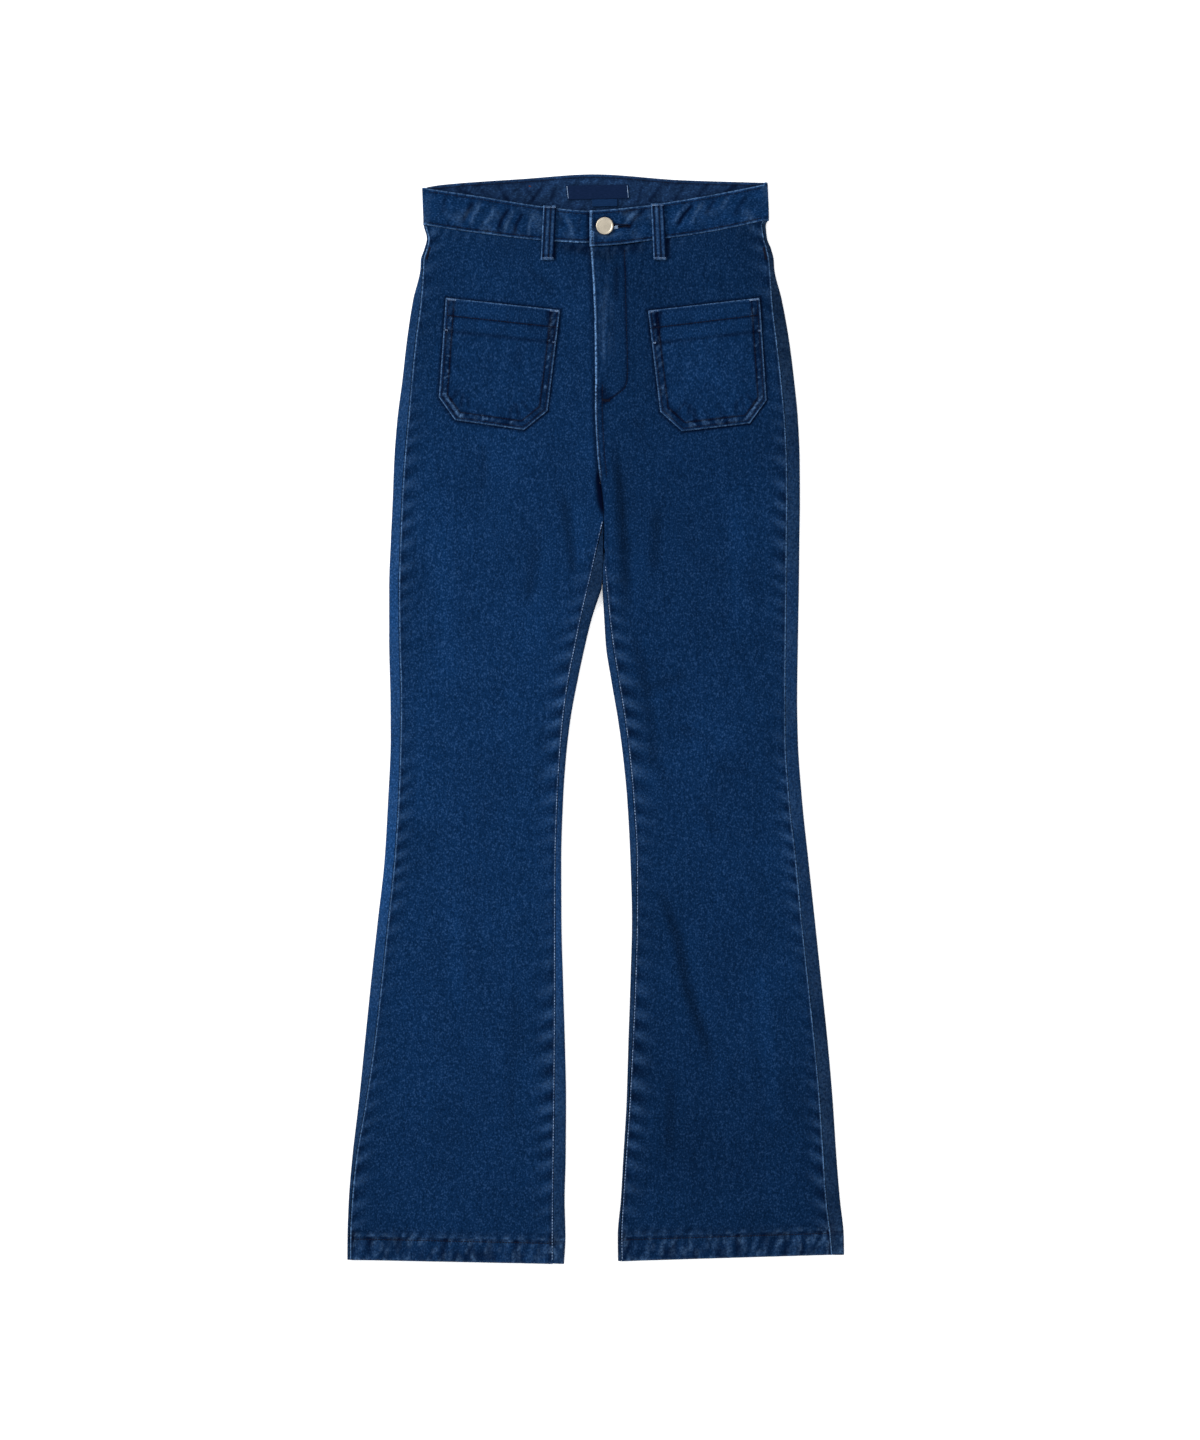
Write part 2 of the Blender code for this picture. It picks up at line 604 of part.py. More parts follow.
def crotch_points(side, fold_down, tip_down):
    """The row that follows the back rise round the apex and up to the crotch."""
    sign = SIDES[side]
    half_gap = SEAM_GAP / 2.0
    radius = FOLD_RADIUS
    points = []
    for degrees in (-90.0, -45.0, 0.0, 45.0, 90.0):
        angle = math.radians(degrees)
        up = radius * (1.0 - math.cos(angle))
        down = fold_down - up
        out = sign * front_rise(down) + half_gap + 0.25 * up
        points.append((out, down, radius * (1.0 + math.sin(angle))))
    start = points[-1][1]
    tip = tip_down + CROTCH_TIP
    for t in (0.5, 1.0):
        down = mix(start, tip, t)
        rise = sign * front_rise(down) + half_gap
        if t == 1.0:
            rise = mix(rise, INSEAM[side](down) - half_gap, 0.5)
        points.append((rise, down, cloth_height(side, rise, down)))
    return points


def leg_inner_points(side, fold_down, inner_down):
    """Points round the inner fold of a leg to its inseam."""
    outline = INNER_OUTLINE[side]
    slope = (outline(fold_down + 4.0) - outline(fold_down - 1.0)) / 5.0
    length = math.hypot(1.0, slope)
    inward = (1.0 / length, -slope / length)
    edge = (outline(fold_down), fold_down)
    seam_out = INSEAM[side](inner_down) - SEAM_GAP / 2.0
    points = fold_points(side, edge, inward, seam_out - outline(inner_down))
    if inner_down == fold_down:
        return points
    arc_end = points[-3]
    for index, t in ((-2, 0.5), (-1, 1.0)):
        out = mix(arc_end[0], seam_out, t)
        down = mix(arc_end[1], inner_down, t)
        points[index] = (out, down, above_fold(side, out, down, out - outline(down)))
    return points


# ---------------------------------------------------------------- waistband

def band_height(x):
    """Outer height of the band on the front, outside its side folds."""
    side = "left" if x < 0.0 else "right"
    from_side = OUTLINE[side](BAND_MIDDLE) - abs(x)
    flat = ramp(from_side, BAND_FOLD_RADIUS, BAND_FOLD_RADIUS + FOLD_SWELL)
    return mix(2.0 * BAND_FOLD_RADIUS, BAND_HEIGHT, flat)


def overlap_height(x):
    """The same for the buttonhole end, which lies on the button end."""
    return band_height(x) + OVERLAP_LIFT * (1.0 - ramp(x, *OVERLAP_RAMP))


def band_top_height(x):
    """Height of the topmost band wall at x."""
    return overlap_height(x) if x > 0.0 else band_height(x)


def side_top(side):
    """Down of the band's upper edge at one side."""
    return BACK_TOP[0].down if side == "left" else BACK_TOP[-1].down


def side_bottom(side):
    """Down of the band's lower edge at one side."""
    return STATIONS[side][0].side


def back_bottom(x):
    """Down of the band's lower edge across the back, straight from each side to the middle."""
    side = "left" if x < back_rise(BAND_DEPTH) else "right"
    middle = back_rise(BAND_DEPTH)
    to_side = (x - middle) / (SIDES[side] * OUTLINE[side](side_bottom(side)) - middle)
    return mix(BAND_DEPTH, side_bottom(side), to_side)


BAND_ROWS = (0.0, 0.33, 0.67, 1.0)                # shares of the band's width
BAND_ARC = (90.0, 54.0, 18.0, -18.0, -54.0, -90.0)   # degrees round its side folds
BAND_END = -6.0                                   # x of the buttonhole end
UNDERLAP_SHORT = 2.0                              # how much narrower the end under it is
BAND_CLEAR = 9.0                                  # from a side fold to the next column


def band_column(x, top, bottom, z):
    """Points of the band from its upper edge to its seam, level at z."""
    half_gap = SEAM_GAP / 2.0
    return [place(x, mix(top, bottom - half_gap, t), z) for t in BAND_ROWS]


def band_side_fold(side):
    """Columns round the band's fold at one side, from the front to the back."""
    sign = SIDES[side]
    columns = []
    for degrees in BAND_ARC:
        angle = math.radians(degrees)
        column = []
        for t in BAND_ROWS:
            down = mix(side_top(side), side_bottom(side) - SEAM_GAP / 2.0, t)
            inset = BAND_FOLD_RADIUS * (1.0 - math.cos(angle))
            z = BAND_FOLD_RADIUS * (1.0 + math.sin(angle))
            edge = OUTLINE[side](min(down, BAND_LOW)) - inset
            column.append(place(sign * edge, down, z))
        columns.append(column)
    return columns


def waistband(finish, collection):
    """The whole band, from its button end round the back to its buttonhole end."""
    left_end = -OUTLINE["left"](BAND_MIDDLE) + BAND_FOLD_RADIUS + BAND_CLEAR
    right_end = OUTLINE["right"](BAND_MIDDLE) - BAND_FOLD_RADIUS - BAND_CLEAR
    columns = []
    for x in spread(UNDERLAP_END, -8.0, 4) + spread(-20.0, left_end, 10):
        bottom = WAIST_SEAM["left"](x)
        if x > BAND_END:
            bottom = min(bottom, WAIST_SEAM["right"](x) - UNDERLAP_SHORT)
        columns.append(band_column(x, front_top(x), bottom, band_height(x)))
    columns += band_side_fold("left")
    for x in spread(left_end, right_end, 12):
        columns.append(band_column(x, back_top(x), back_bottom(x), 0.0))
    columns += reversed(band_side_fold("right"))
    to_overlap = spread(right_end, 66.0, 6) + spread(OVERLAP_RAMP[1], OVERLAP_RAMP[0], 4)
    for x in to_overlap + spread(28.0, BAND_END, 4):
        bottom = WAIST_SEAM["right"](x)
        columns.append(band_column(x, front_top(x), bottom, overlap_height(x)))
    return cloth("waistband", columns, BAND_CLOTH, False, finish, collection)


def cut_buttonhole(band, cutters):
    """Cut the keyhole through the buttonhole end only."""
    base = BAND_HEIGHT + 0.1
    top = BAND_HEIGHT + OVERLAP_LIFT + 2.0
    depth = (top - base) * MM
    middle = (base + top) / 2.0
    bpy.ops.mesh.primitive_cylinder_add(
        vertices=16, radius=BUTTONHOLE_EYE * MM, depth=depth,
        location=place(BUTTON_X, BUTTON_DOWN, middle))
    eye = bpy.context.object
    eye.name = "cutter_buttonhole_eye"
    length = BUTTONHOLE_END - BUTTON_X
    bpy.ops.mesh.primitive_cube_add(
        size=1.0, location=place(BUTTON_X + length / 2.0, BUTTON_DOWN - 0.4, middle))
    slit = bpy.context.object
    slit.name = "cutter_buttonhole_slit"
    slit.scale = (length * MM, BUTTONHOLE_SLIT * MM, depth)
    for cutter in (eye, slit):
        for collection in cutter.users_collection:
            collection.objects.unlink(cutter)
        cutters.objects.link(cutter)
        cutter.hide_render = True
        cutter.display_type = "WIRE"
        cut = band.modifiers.new(cutter.name, "BOOLEAN")
        cut.operation = "DIFFERENCE"
        cut.solver = "EXACT"
        cut.object = cutter


# ---------------------------------------------------------------- pieces sewn on

def pocket(side, finish, collection):
    """A patch pocket on the front panel, with a doubled hem across its mouth."""
    table = POCKETS[side]
    rows = [table[0][:4]]
    hem_rows = [True]
    for number, (above, here) in enumerate(zip(table, table[1:]), start=1):
        for step in range(1, here.steps + 1):
            rows.append([mix(a, b, step / here.steps) for a, b in zip(above[:4], here[:4])])
            hem_rows.append(number < POCKET_MOUTH_ROW)
    lift = LAY_GAP + CLOTH
    grid = []
    wall = []
    thick = CLOTH + POCKET_HEM_LIFT
    for row, is_hem in zip(rows, hem_rows):
        x_left, down_left, x_right, down_right = row
        extra = POCKET_HEM_LIFT if is_hem else 0.0
        points = []
        for t in spread(0.0, 1.0, POCKET_COLUMNS):
            x = mix(x_left, x_right, t)
            down = mix(down_left, down_right, t)
            points.append(place(x, down, front_height(x, down) + lift + extra))
        grid.append(points)
        wall.append([(CLOTH + extra) / thick] * len(points))
    return cloth("pocket_" + side, grid, thick, True, finish, collection, wall)


def belt_loop(side, finish, collection):
    """A folded strip over the band, sewn down above and below it."""
    loop = LOOPS[side]
    seam = WAIST_SEAM[side](loop.x_top)
    lift = LAY_GAP + LOOP_CLOTH
    steps = (
        (loop.top, 0.0), (loop.top + 3.0, 0.0), (loop.top + 8.0, LOOP_BULGE),
        (mix(loop.top, seam, 0.5), LOOP_BULGE * 1.3), (seam - 6.0, LOOP_BULGE),
        (seam + 3.0, LOOP_BULGE * 0.8), (loop.bottom - 5.0, 0.1), (loop.bottom, 0.0),
    )
    grid = []
    for down, bulge in steps:
        t = (down - loop.top) / (loop.bottom - loop.top)
        centre = mix(loop.x_top, loop.x_bottom, t)
        under = band_top_height(centre)
        if down > seam + 1.0:
            panel = max(front_height(centre + loop.half_width * s, down) for s in (-1.0, 0.0, 1.0))
            under = mix(under, panel, ramp(down, seam + 1.0, seam + 9.0))
        z = under + lift + bulge
        grid.append([
            place(centre + loop.half_width * s, down, z + crown)
            for s, crown in ((-1.0, 0.0), (-0.5, LOOP_CROWN), (0.5, LOOP_CROWN), (1.0, 0.0))
        ])
    return cloth("belt_loop_" + side, grid, LOOP_CLOTH, True, finish, collection)


def button(finish, collection):
    """A domed shank button, turned, standing on the band's button end."""
    seat = BAND_HEIGHT + SEAM_GAP
    cap = BAND_HEIGHT + OVERLAP_LIFT + SEAM_GAP
    radius = BUTTON_RADIUS
    profile = (
        (0.0, cap + 2.6), (radius * 0.45, cap + 2.45), (radius * 0.75, cap + 2.05),
        (radius * 0.93, cap + 1.4), (radius, cap + 0.75), (radius * 0.96, cap + 0.15),
        (radius * 0.86, cap), (2.3, cap), (2.3, seat + 0.5), (2.6, seat), (0.0, seat),
    )
    mesh = bpy.data.meshes.new("button")
    mesh.from_pydata([(r * MM, 0.0, z * MM) for r, z in profile],
                     [(n, n + 1) for n in range(len(profile) - 1)], [])
    piece = add_object("button", mesh, finish, collection)
    piece.location = place(BUTTON_X, BUTTON_DOWN, 0.0)
    screw = piece.modifiers.new("turn", "SCREW")
    screw.axis = "Z"
    screw.steps = 20
    screw.render_steps = 20
    screw.use_merge_vertices = True
    screw.merge_threshold = 0.00005
    return piece


WEAVE = 1.0                # cloth of the label and the tab
Patch = namedtuple("Patch", "name corners")
PATCHES = (
    Patch("label", ((-29.1, 11.3), (31.5, 10.3), (32.8, 24.0), (-27.4, 25.0))),
    Patch("size_tab", ((-3.6, 24.9), (20.9, 24.5), (21.1, 31.6), (-3.4, 31.9))),
)


def flat_patch(patch, finish, collection):
    """A small woven piece lying on the inside of the back waistband."""
    top_left, top_right, bottom_right, bottom_left = patch.corners
    grid = []
    for t in spread(0.0, 1.0, 2):
        row = []
        for s in spread(0.0, 1.0, 3):
            x = mix(mix(top_left[0], top_right[0], s), mix(bottom_left[0], bottom_right[0], s), t)
            down = mix(mix(top_left[1], top_right[1], s), mix(bottom_left[1], bottom_right[1], s), t)
            row.append(place(x, down, BAND_CLOTH + SEAM_GAP + WEAVE))
        grid.append(row)
    return cloth(patch.name, grid, WEAVE, True, finish, collection)


def main():
    """Clear the scene and build the jeans."""
    for item in list(bpy.data.objects):
        bpy.data.objects.remove(item, do_unlink=True)
    jeans = bpy.data.collections.new("bootcut_jeans")
    cutters = bpy.data.collections.new("cutters")
    for collection in (jeans, cutters):
        bpy.context.scene.collection.children.link(collection)

    front_denim = material("front_denim", DENIM, 0.9, 0.0)
    back_denim = material("back_denim", DENIM, 0.9, 0.0)
    band_denim = material("band_denim", DENIM_DARK, 0.9, 0.0)
    pocket_denim = material("pocket_denim", DENIM, 0.9, 0.0)
    loop_denim = material("loop_denim", DENIM_DARK, 0.9, 0.0)
    button_metal = material("button_metal", METAL, 0.35, 1.0)
    label_weave = material("label_weave", WOVEN_LABEL, 0.8, 0.0)

    for side in SIDES:
        front_panel(side, front_denim, jeans)
        back_panel(side, back_denim, jeans)
        pocket(side, pocket_denim, jeans)
        belt_loop(side, loop_denim, jeans)
    band = waistband(band_denim, jeans)
    cut_buttonhole(band, cutters)
    button(button_metal, jeans)
    for patch in PATCHES:
        flat_patch(patch, label_weave, jeans)


main()
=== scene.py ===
import logging
import math
from collections.abc import Callable, Sequence
from dataclasses import dataclass, field
from enum import Enum

import bpy
import numpy as np
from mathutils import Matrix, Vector, noise


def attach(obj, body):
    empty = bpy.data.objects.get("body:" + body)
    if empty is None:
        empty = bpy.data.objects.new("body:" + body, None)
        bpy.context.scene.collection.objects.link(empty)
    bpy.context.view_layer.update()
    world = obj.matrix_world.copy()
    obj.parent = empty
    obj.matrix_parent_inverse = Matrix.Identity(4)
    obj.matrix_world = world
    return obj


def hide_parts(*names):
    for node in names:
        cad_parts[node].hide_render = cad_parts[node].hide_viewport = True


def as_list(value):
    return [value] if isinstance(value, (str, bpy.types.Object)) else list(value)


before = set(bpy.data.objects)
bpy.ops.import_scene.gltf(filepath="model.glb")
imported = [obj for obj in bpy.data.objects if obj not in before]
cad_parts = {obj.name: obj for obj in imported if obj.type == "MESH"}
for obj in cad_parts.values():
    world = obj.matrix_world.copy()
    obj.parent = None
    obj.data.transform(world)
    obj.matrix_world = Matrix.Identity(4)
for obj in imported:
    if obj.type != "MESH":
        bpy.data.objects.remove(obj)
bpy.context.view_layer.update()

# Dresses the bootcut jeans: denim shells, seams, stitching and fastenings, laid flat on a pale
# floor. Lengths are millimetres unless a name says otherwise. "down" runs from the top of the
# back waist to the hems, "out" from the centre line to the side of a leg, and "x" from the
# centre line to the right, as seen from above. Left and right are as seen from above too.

log = logging.getLogger("jeans")
Array = np.ndarray
Number = Array | float
Points = Sequence[tuple[float, float]]
Surface = Callable[[Array, Array], Array]
Colour = tuple[float, float, float, float]
Material = bpy.types.Material
Piece = bpy.types.Object
Node = bpy.types.Node
Socket = bpy.types.NodeSocket
NodeTree = bpy.types.NodeTree
Wardrobe = dict[str, Material]

MM = 0.001

# Driving sizes of the cloth, of the same sizes as in the part's source
LENGTH = 1068
CLOTH = 1.2
HEM_CLOTH = 1.8
BAND_CLOTH = 2.2
LOOP_CLOTH = 1.8
WEAVE_CLOTH = 1
SEAM_GAP = 0.3
LAY_GAP = 0.45
LEAN_GAP = 0.75
FOLD_RADIUS = 2.8
BAND_FOLD_RADIUS = 3
FOLD_SWELL = 26
RELIEF_CLEAR = 14
REST_HEIGHT = 3.4
WAIST_HEIGHT = 4.1
HEM_HEIGHT = 4.5
BAND_HEIGHT = 5
BAND_DEPTH = 37
BAND_MIDDLE = 30
BAND_LOW = 43
OVERLAP_LIFT = 2.55
UNDERLAP_END = 36
UNDERLAP_SHORT = 2
BAND_END = -6
FLY_UNDERLAP = 8
FLY_LIFT = CLOTH + 0.35
BUTTON_X = 8.8
BUTTON_DOWN = 51.6
BUTTON_RADIUS = 8.6
BUTTONHOLE_END = 33.6
APEX_DOWN = 405.5
CROTCH_ROW = 14
CROTCH_TIP = 5.5
SEAM_ROWS = 5

# Stretches (from, to) over which the cloth changes height or width
WAIST_FADE = (60, 120)
HEM_RISE = (985, 1035)
HEM_RISE_HEIGHT = 0.5
FLY_FADE = (204, 224)
FLY_STEPS = ((12, 24, 0.45), (29, 34, 0.55))
UNDERLAP_FADE = (183, 201)
LEG_FADE = (300, APEX_DOWN)
OVERLAP_RAMP = (38, 52)

# Spacing of the fine cloth's points, and the gap between the backs where they are sewn together
ROW_PITCH = 2.3
EDGE_STEPS = (0, 0.7, 1.4, 2.2, 3.2, 4.6, 6.4, 8.6, 11.2, 14.2)
MIDDLE_STEPS = 62
SEWN_GAP = 0.04


class Side(Enum):
    """A side of the jeans, as seen from above."""

    LEFT = -1
    RIGHT = 1

    @property
    def label(self) -> str:
        """The side's name as the nodes spell it."""
        return self.name.lower()


@dataclass(frozen=True)
class Station:
    """A row of a panel: down at its side, inner edge and inner fold, and steps from the row above."""

    name: str
    steps: int
    side: float
    inner: float
    fold: float


STATIONS = {
    Side.LEFT: (
        Station("waist seam", 0, 50, 67.6, 37),
        Station("side tack", 4, 92, 123.5, 137),
        Station("fly end", 5, 202, 225.5, 270),
        Station("crotch", 5, 346, 339, 405.5),
        Station("thigh", 6, 554.5, 554.5, 554.5),
        Station("shin", 11, 976, 976, 976),
        Station("hem stitch", 2, 1040, 1044.5, 1044),
        Station("hem top", 1, 1042.5, 1047, 1046.5),
        Station("hem edge", 2, 1064, 1068, 1068),
    ),
    Side.RIGHT: (
        Station("waist seam", 0, 46, 71.5, 37),
        Station("side tack", 4, 92, 123.5, 137),
        Station("fly end", 5, 202, 225.5, 270),
        Station("crotch", 5, 346, 366, 405.5),
        Station("thigh", 6, 554.5, 554.5, 554.5),
        Station("shin", 11, 976, 976, 976),
        Station("hem stitch", 2, 1034.5, 1041, 1041),
        Station("hem top", 1, 1037, 1043.5, 1043.5),
        Station("hem edge", 2, 1059, 1065.3, 1065),
    ),
}

# Rows of (down, outline, seam) at the sides of the legs
SIDE_EDGES = {
    Side.LEFT: (
        (13.7, 170.2, 168.2), (50, 168.6, 167), (63, 165.5, 164), (73.5, 168, 166), (84.5, 171.5, 169),
        (92, 171.8, 169.3), (123.5, 179, 171.5), (162.5, 185, 176.5), (202, 189.5, 180.5),
        (241, 194.5, 184), (280.5, 197.5, 187.5), (319.5, 199, 190), (358.5, 200.8, 191.5),
        (405.5, 202.5, 193), (456.5, 202.5, 192.5), (515.5, 201.2, 191), (554.5, 201, 191.5),
        (613.5, 203.5, 193.5), (672.5, 207, 197.5), (731, 213.5, 203.5), (790, 220, 209.8),
        (848.5, 226, 216.5), (907.5, 232, 225), (966, 238.8, 235), (1005.5, 242, 238.8),
        (1041, 243.3, 240.7), (1064, 243.5, 241),
    ),
    Side.RIGHT: (
        (8.3, 168.6, 165.6), (43, 169.8, 166), (50, 166.8, 163.3), (63, 168, 165), (73.5, 172, 168),
        (84.5, 174.6, 170.2), (92, 175, 171), (123.5, 182.5, 173), (162.5, 189.5, 177.5),
        (202, 194.5, 182), (241, 198.3, 185.5), (280.5, 200, 187.5), (319.5, 200.2, 188),
        (358.5, 199.7, 187.5), (405.5, 199.2, 187), (456.5, 198.3, 186.5), (515.5, 197.5, 186),
        (554.5, 198.2, 186.2), (613.5, 202.3, 190), (672.5, 208.5, 196.5), (731, 214.8, 202),
        (790, 221, 208.3), (848.5, 227.2, 214.5), (907.5, 232.3, 219.8), (966, 236.2, 223.6),
        (1005.5, 239.5, 226.3), (1041, 243.2, 230.5), (1059, 243.5, 232),
    ),
}

# Rows of (down, seam, outline) on the insides of the legs
INNER_EDGES = {
    Side.LEFT: (
        (339, -7.6, -7.8), (363.5, -1.8, -8.8), (389, 3.6, -7.6), (405.5, 7.6, -6.2), (417.5, 10.4, -1.8),
        (437, 14.8, 4.2), (461.5, 19.7, 10.2), (496, 26.6, 17.6), (535, 31.9, 24.8), (574.5, 35.2, 29.3),
        (613.5, 37.4, 31.9), (672.5, 39.2, 33.7), (731, 39.5, 33.5), (790, 39.5, 32), (848.5, 39.8, 30.2),
        (907.5, 40.4, 29), (966, 41.1, 29.4), (1005.5, 41.6, 30.4), (1041, 41.8, 29.6), (1068, 41.8, 31),
    ),
    Side.RIGHT: (
        (366, 8.9, 8.7), (384, 8.9, 7.4), (400, 10.3, 6.3), (405.5, 10.8, 6.5), (417.5, 11.8, 7.3),
        (437, 13.7, 8.4), (461.5, 16.8, 9.9), (496, 22.3, 15.2), (535, 28.6, 21.9), (574.5, 33.5, 27.2),
        (613.5, 36.9, 30.9), (672.5, 40.1, 34), (731, 40.1, 35.5), (790, 38.6, 34.1), (848.5, 36.1, 32.1),
        (907.5, 33.1, 30.3), (966, 29.2, 26.9), (1005.5, 26.6, 24.6), (1041, 24.9, 21.6),
        (1068, 25.2, 21.9),
    ),
}

# Rows of (down, x) along the centre seams, and of (x, down) along the waist
FRONT_RISE = (
    (30, -6.6), (68.5, -5.4), (110, -2.8), (152, -1.3), (202, -0.8), (225.5, -1), (274.5, 1.2), (292, 3),
    (319.5, 6.4), (339, 7.9), (352, 8.4), (370.5, 7.65), (384, 7.1), (405.5, 6.3),
)
BACK_RISE = ((0, -1.2), (200, 2.4), (405.5, 6.3))
FRONT_TOP = (
    (-171, 13.6), (-116.8, 21.6), (-51.6, 31.9), (-6.6, 36.1), (20, 34.6), (54.2, 30.4), (108.1, 21.6),
    (170, 9.6),
)
WAIST_SEAMS = {
    Side.LEFT: (
        (-170, 50), (-116.8, 57.8), (-51.6, 65.3), (-8, 67.6), (10, 67), (36, 65),
    ),
    Side.RIGHT: ((-5.6, 71.5), (20, 69.8), (54.2, 65.3), (108.1, 57.6), (170, 45)),
}
BACK_TOP = (
    (-171, 13.7), (-150.6, 10.3), (-70, 4.4), (-1.7, 0), (83.2, 5.7), (168.6, 8.4),
)

# Corners (x, down) of the patch pockets, clockwise from the top left
POCKET_OUTLINES = {
    Side.LEFT: (
        (-146.7, 121.5), (-35, 133.6), (-47.3, 232.3), (-70.3, 250.9), (-137.7, 241.2), (-153.6, 218.9),
    ),
    Side.RIGHT: (
        (51.3, 134.1), (160.5, 121.5), (167.3, 221.8), (150.9, 244.3), (84.6, 252.2), (63.2, 233),
    ),
}


# ---- numbers and curves

def smoothstep(value: Number) -> Array:
    """Ease from 0 to 1 as value goes from 0 to 1."""
    t = np.clip(value, 0, 1)
    return t * t * (3 - 2 * t)


def ramp(value: Number, start: float, end: float) -> Array:
    """Ease from 0 to 1 as value goes from start to end."""
    return smoothstep((value - start) / (end - start))


def fall(value: Number, start: float, end: float) -> Array:
    """Ease from 1 to 0 as value goes from start to end."""
    return 1 - ramp(value, start, end)


def bell(value: Array, centre: Number, width: float) -> Array:
    """Return a soft bump: 1 at the centre, and 0.37 at width from it."""
    return np.exp(-((value - centre) / width) ** 2)


def mix(a: Number, b: Number, t: Number) -> Number:
    """Return the value at share t of the way from a to b."""
    return a + (b - a) * t


def line_of(x: Array, down: Array) -> Array:
    """Return a line's points, one (x, down) row for each."""
    return np.stack([x, down], axis=1)


def raised(surface: Surface, rise: float) -> Surface:
    """Return the surface that lies higher by rise."""
    return lambda x, down: surface(x, down) + rise


def points_in_metres(x: Array, down: Array, z: Array) -> Array:
    """Stack millimetre coordinates into points of the shared frame, in metres."""
    return np.stack([x * MM, (LENGTH / 2 - down) * MM, z * MM], axis=-1)


def inside_distances(corners: Points, x: Array, down: Array) -> list[Array]:
    """Return how far inside each side of a closed outline the points are.

    Args:
        corners: (x, down) points, clockwise as seen from above.
        x: places to the right of the centre line.
        down: places below the back waist.

    Returns:
        One array for each side, below zero outside it.
    """
    distances = []
    for (ax, ad), (bx, bd) in zip(corners, (*corners[1:], corners[0])):
        length = math.hypot(bx - ax, bd - ad)
        distances.append(((down - ad) * (bx - ax) - (x - ax) * (bd - ad)) / length)
    return distances


def unevenness(x: Array, down: Array, size: float, seed: float) -> Array:
    """Sample smooth noise.

    Args:
        x: places to the right of the centre line.
        down: places below the back waist.
        size: width of one bump.
        seed: which layer of the noise to read.

    Returns:
        Values from about -1 to 1.
    """
    flat = [noise.noise(Vector((a / size, b / size, seed))) for a, b in zip(x.ravel(), down.ravel())]
    return np.array(flat).reshape(x.shape)


class SmoothLine:
    """A smooth function through points, without overshoot, straight beyond its ends."""

    def __init__(self, points: Points) -> None:
        """Fit the tangents.

        Args:
            points: pairs of (place, value), in order of place.
        """
        self.keys, self.values = (np.array(column, float) for column in zip(*points))
        slopes = np.diff(self.values) / np.diff(self.keys)
        product = slopes[:-1] * slopes[1:]
        total = np.where(product > 0, slopes[:-1] + slopes[1:], 1)
        inner = np.where(product > 0, 2 * product / total, 0)
        self.tangents = np.concatenate([slopes[:1], inner, slopes[-1:]])

    def __call__(self, at: Number) -> Array:
        """Return the line's value at each place."""
        at = np.asarray(at, float)
        i = np.clip(np.searchsorted(self.keys, at, side="right") - 1, 0, len(self.keys) - 2)
        span = self.keys[i + 1] - self.keys[i]
        free = (at - self.keys[i]) / span
        t = np.clip(free, 0, 1)
        start = (1 + 2 * t) * (1 - t) ** 2 * self.values[i]
        start += t * (1 - t) ** 2 * span * self.tangents[i]
        end = t * t * (3 - 2 * t) * self.values[i + 1]
        end += t * t * (t - 1) * span * self.tangents[i + 1]
        beyond = np.where(free < 0, self.tangents[i], self.tangents[i + 1])
        return start + end + (free - t) * span * beyond


front_rise = SmoothLine(FRONT_RISE)
back_rise = SmoothLine(BACK_RISE)
front_top = SmoothLine(FRONT_TOP)
back_top = SmoothLine(BACK_TOP)
waist_seam = {side: SmoothLine(rows) for side, rows in WAIST_SEAMS.items()}


def to_line(line: Points, x: Array, down: Array) -> tuple[Array, Array]:
    """Find the nearest point of a line for each place.

    Args:
        line: (x, down) points.
        x: places to the right of the centre line.
        down: places below the back waist.

    Returns:
        How far away it is, and what share of the line lies before it.
    """
    nearest = np.full(x.shape, np.inf)
    along = np.zeros(x.shape)
    run = 0
    for (x0, down0), (x1, down1) in zip(line, line[1:]):
        dx, dd = x1 - x0, down1 - down0
        length = math.hypot(dx, dd)
        t = np.clip(((x - x0) * dx + (down - down0) * dd) / length ** 2, 0, 1)
        miss = np.hypot(x - x0 - t * dx, down - down0 - t * dd)
        along = np.where(miss < nearest, run + t * length, along)
        nearest = np.minimum(miss, nearest)
        run += length
    return nearest, along / run


@dataclass(frozen=True)
class Crease:
    """A soft ridge along a line of (x, down) points, or a trough where height is below zero."""

    line: Points
    half_width: float
    height: float

    def share(self, x: Array, down: Array) -> Array:
        """Return how strongly the crease is felt at each place, from 0 to 1."""
        nearest, along = to_line(self.line, x, down)
        ends = smoothstep(4 * along) * smoothstep(4 * (1 - along))
        miss = np.minimum(nearest / self.half_width, 1)
        return ends * np.cos(miss * math.pi / 2) ** 2

    def relief(self, x: Array, down: Array) -> Array:
        """Return the height that the crease adds at each place."""
        return self.height * self.share(x, down)


def crease_rows(*rows: tuple[float, ...]) -> tuple[Crease, ...]:
    """Return a crease for each row of half width, height, and then x and down of its points."""
    return tuple(Crease(tuple(zip(row[2::2], row[3::2])), *row[:2]) for row in rows)


def relief_of(creases: Sequence[Crease], x: Array, down: Array) -> Array:
    """Return the height that several creases add at each place."""
    return sum(crease.relief(x, down) for crease in creases)


@dataclass(frozen=True)
class Puckers:
    """Uneven ripples along a seam, which die away across it."""

    pitch: float
    reach: float
    depth: float
    slant: float = 0
    phase: float = 0

    def relief(self, along: Array, across: Array) -> Array:
        """Return the height that the ripples add.

        Args:
            along: distance along the seam.
            across: distance from the seam, of either sign.

        Returns:
            Heights from -depth to depth.
        """
        place = along + self.slant * across
        turn = 2 * math.pi * place / self.pitch + self.phase
        turn += 1.3 * np.sin(place / (1.9 * self.pitch) + self.phase)
        turn += 0.8 * np.sin(place / (0.73 * self.pitch) + 2.1 * self.phase)
        uneven = 0.6 + 0.4 * np.sin(place / (2.7 * self.pitch) + 3 * self.phase)
        return self.depth * uneven * np.sin(turn) * bell(across, 0, self.reach)


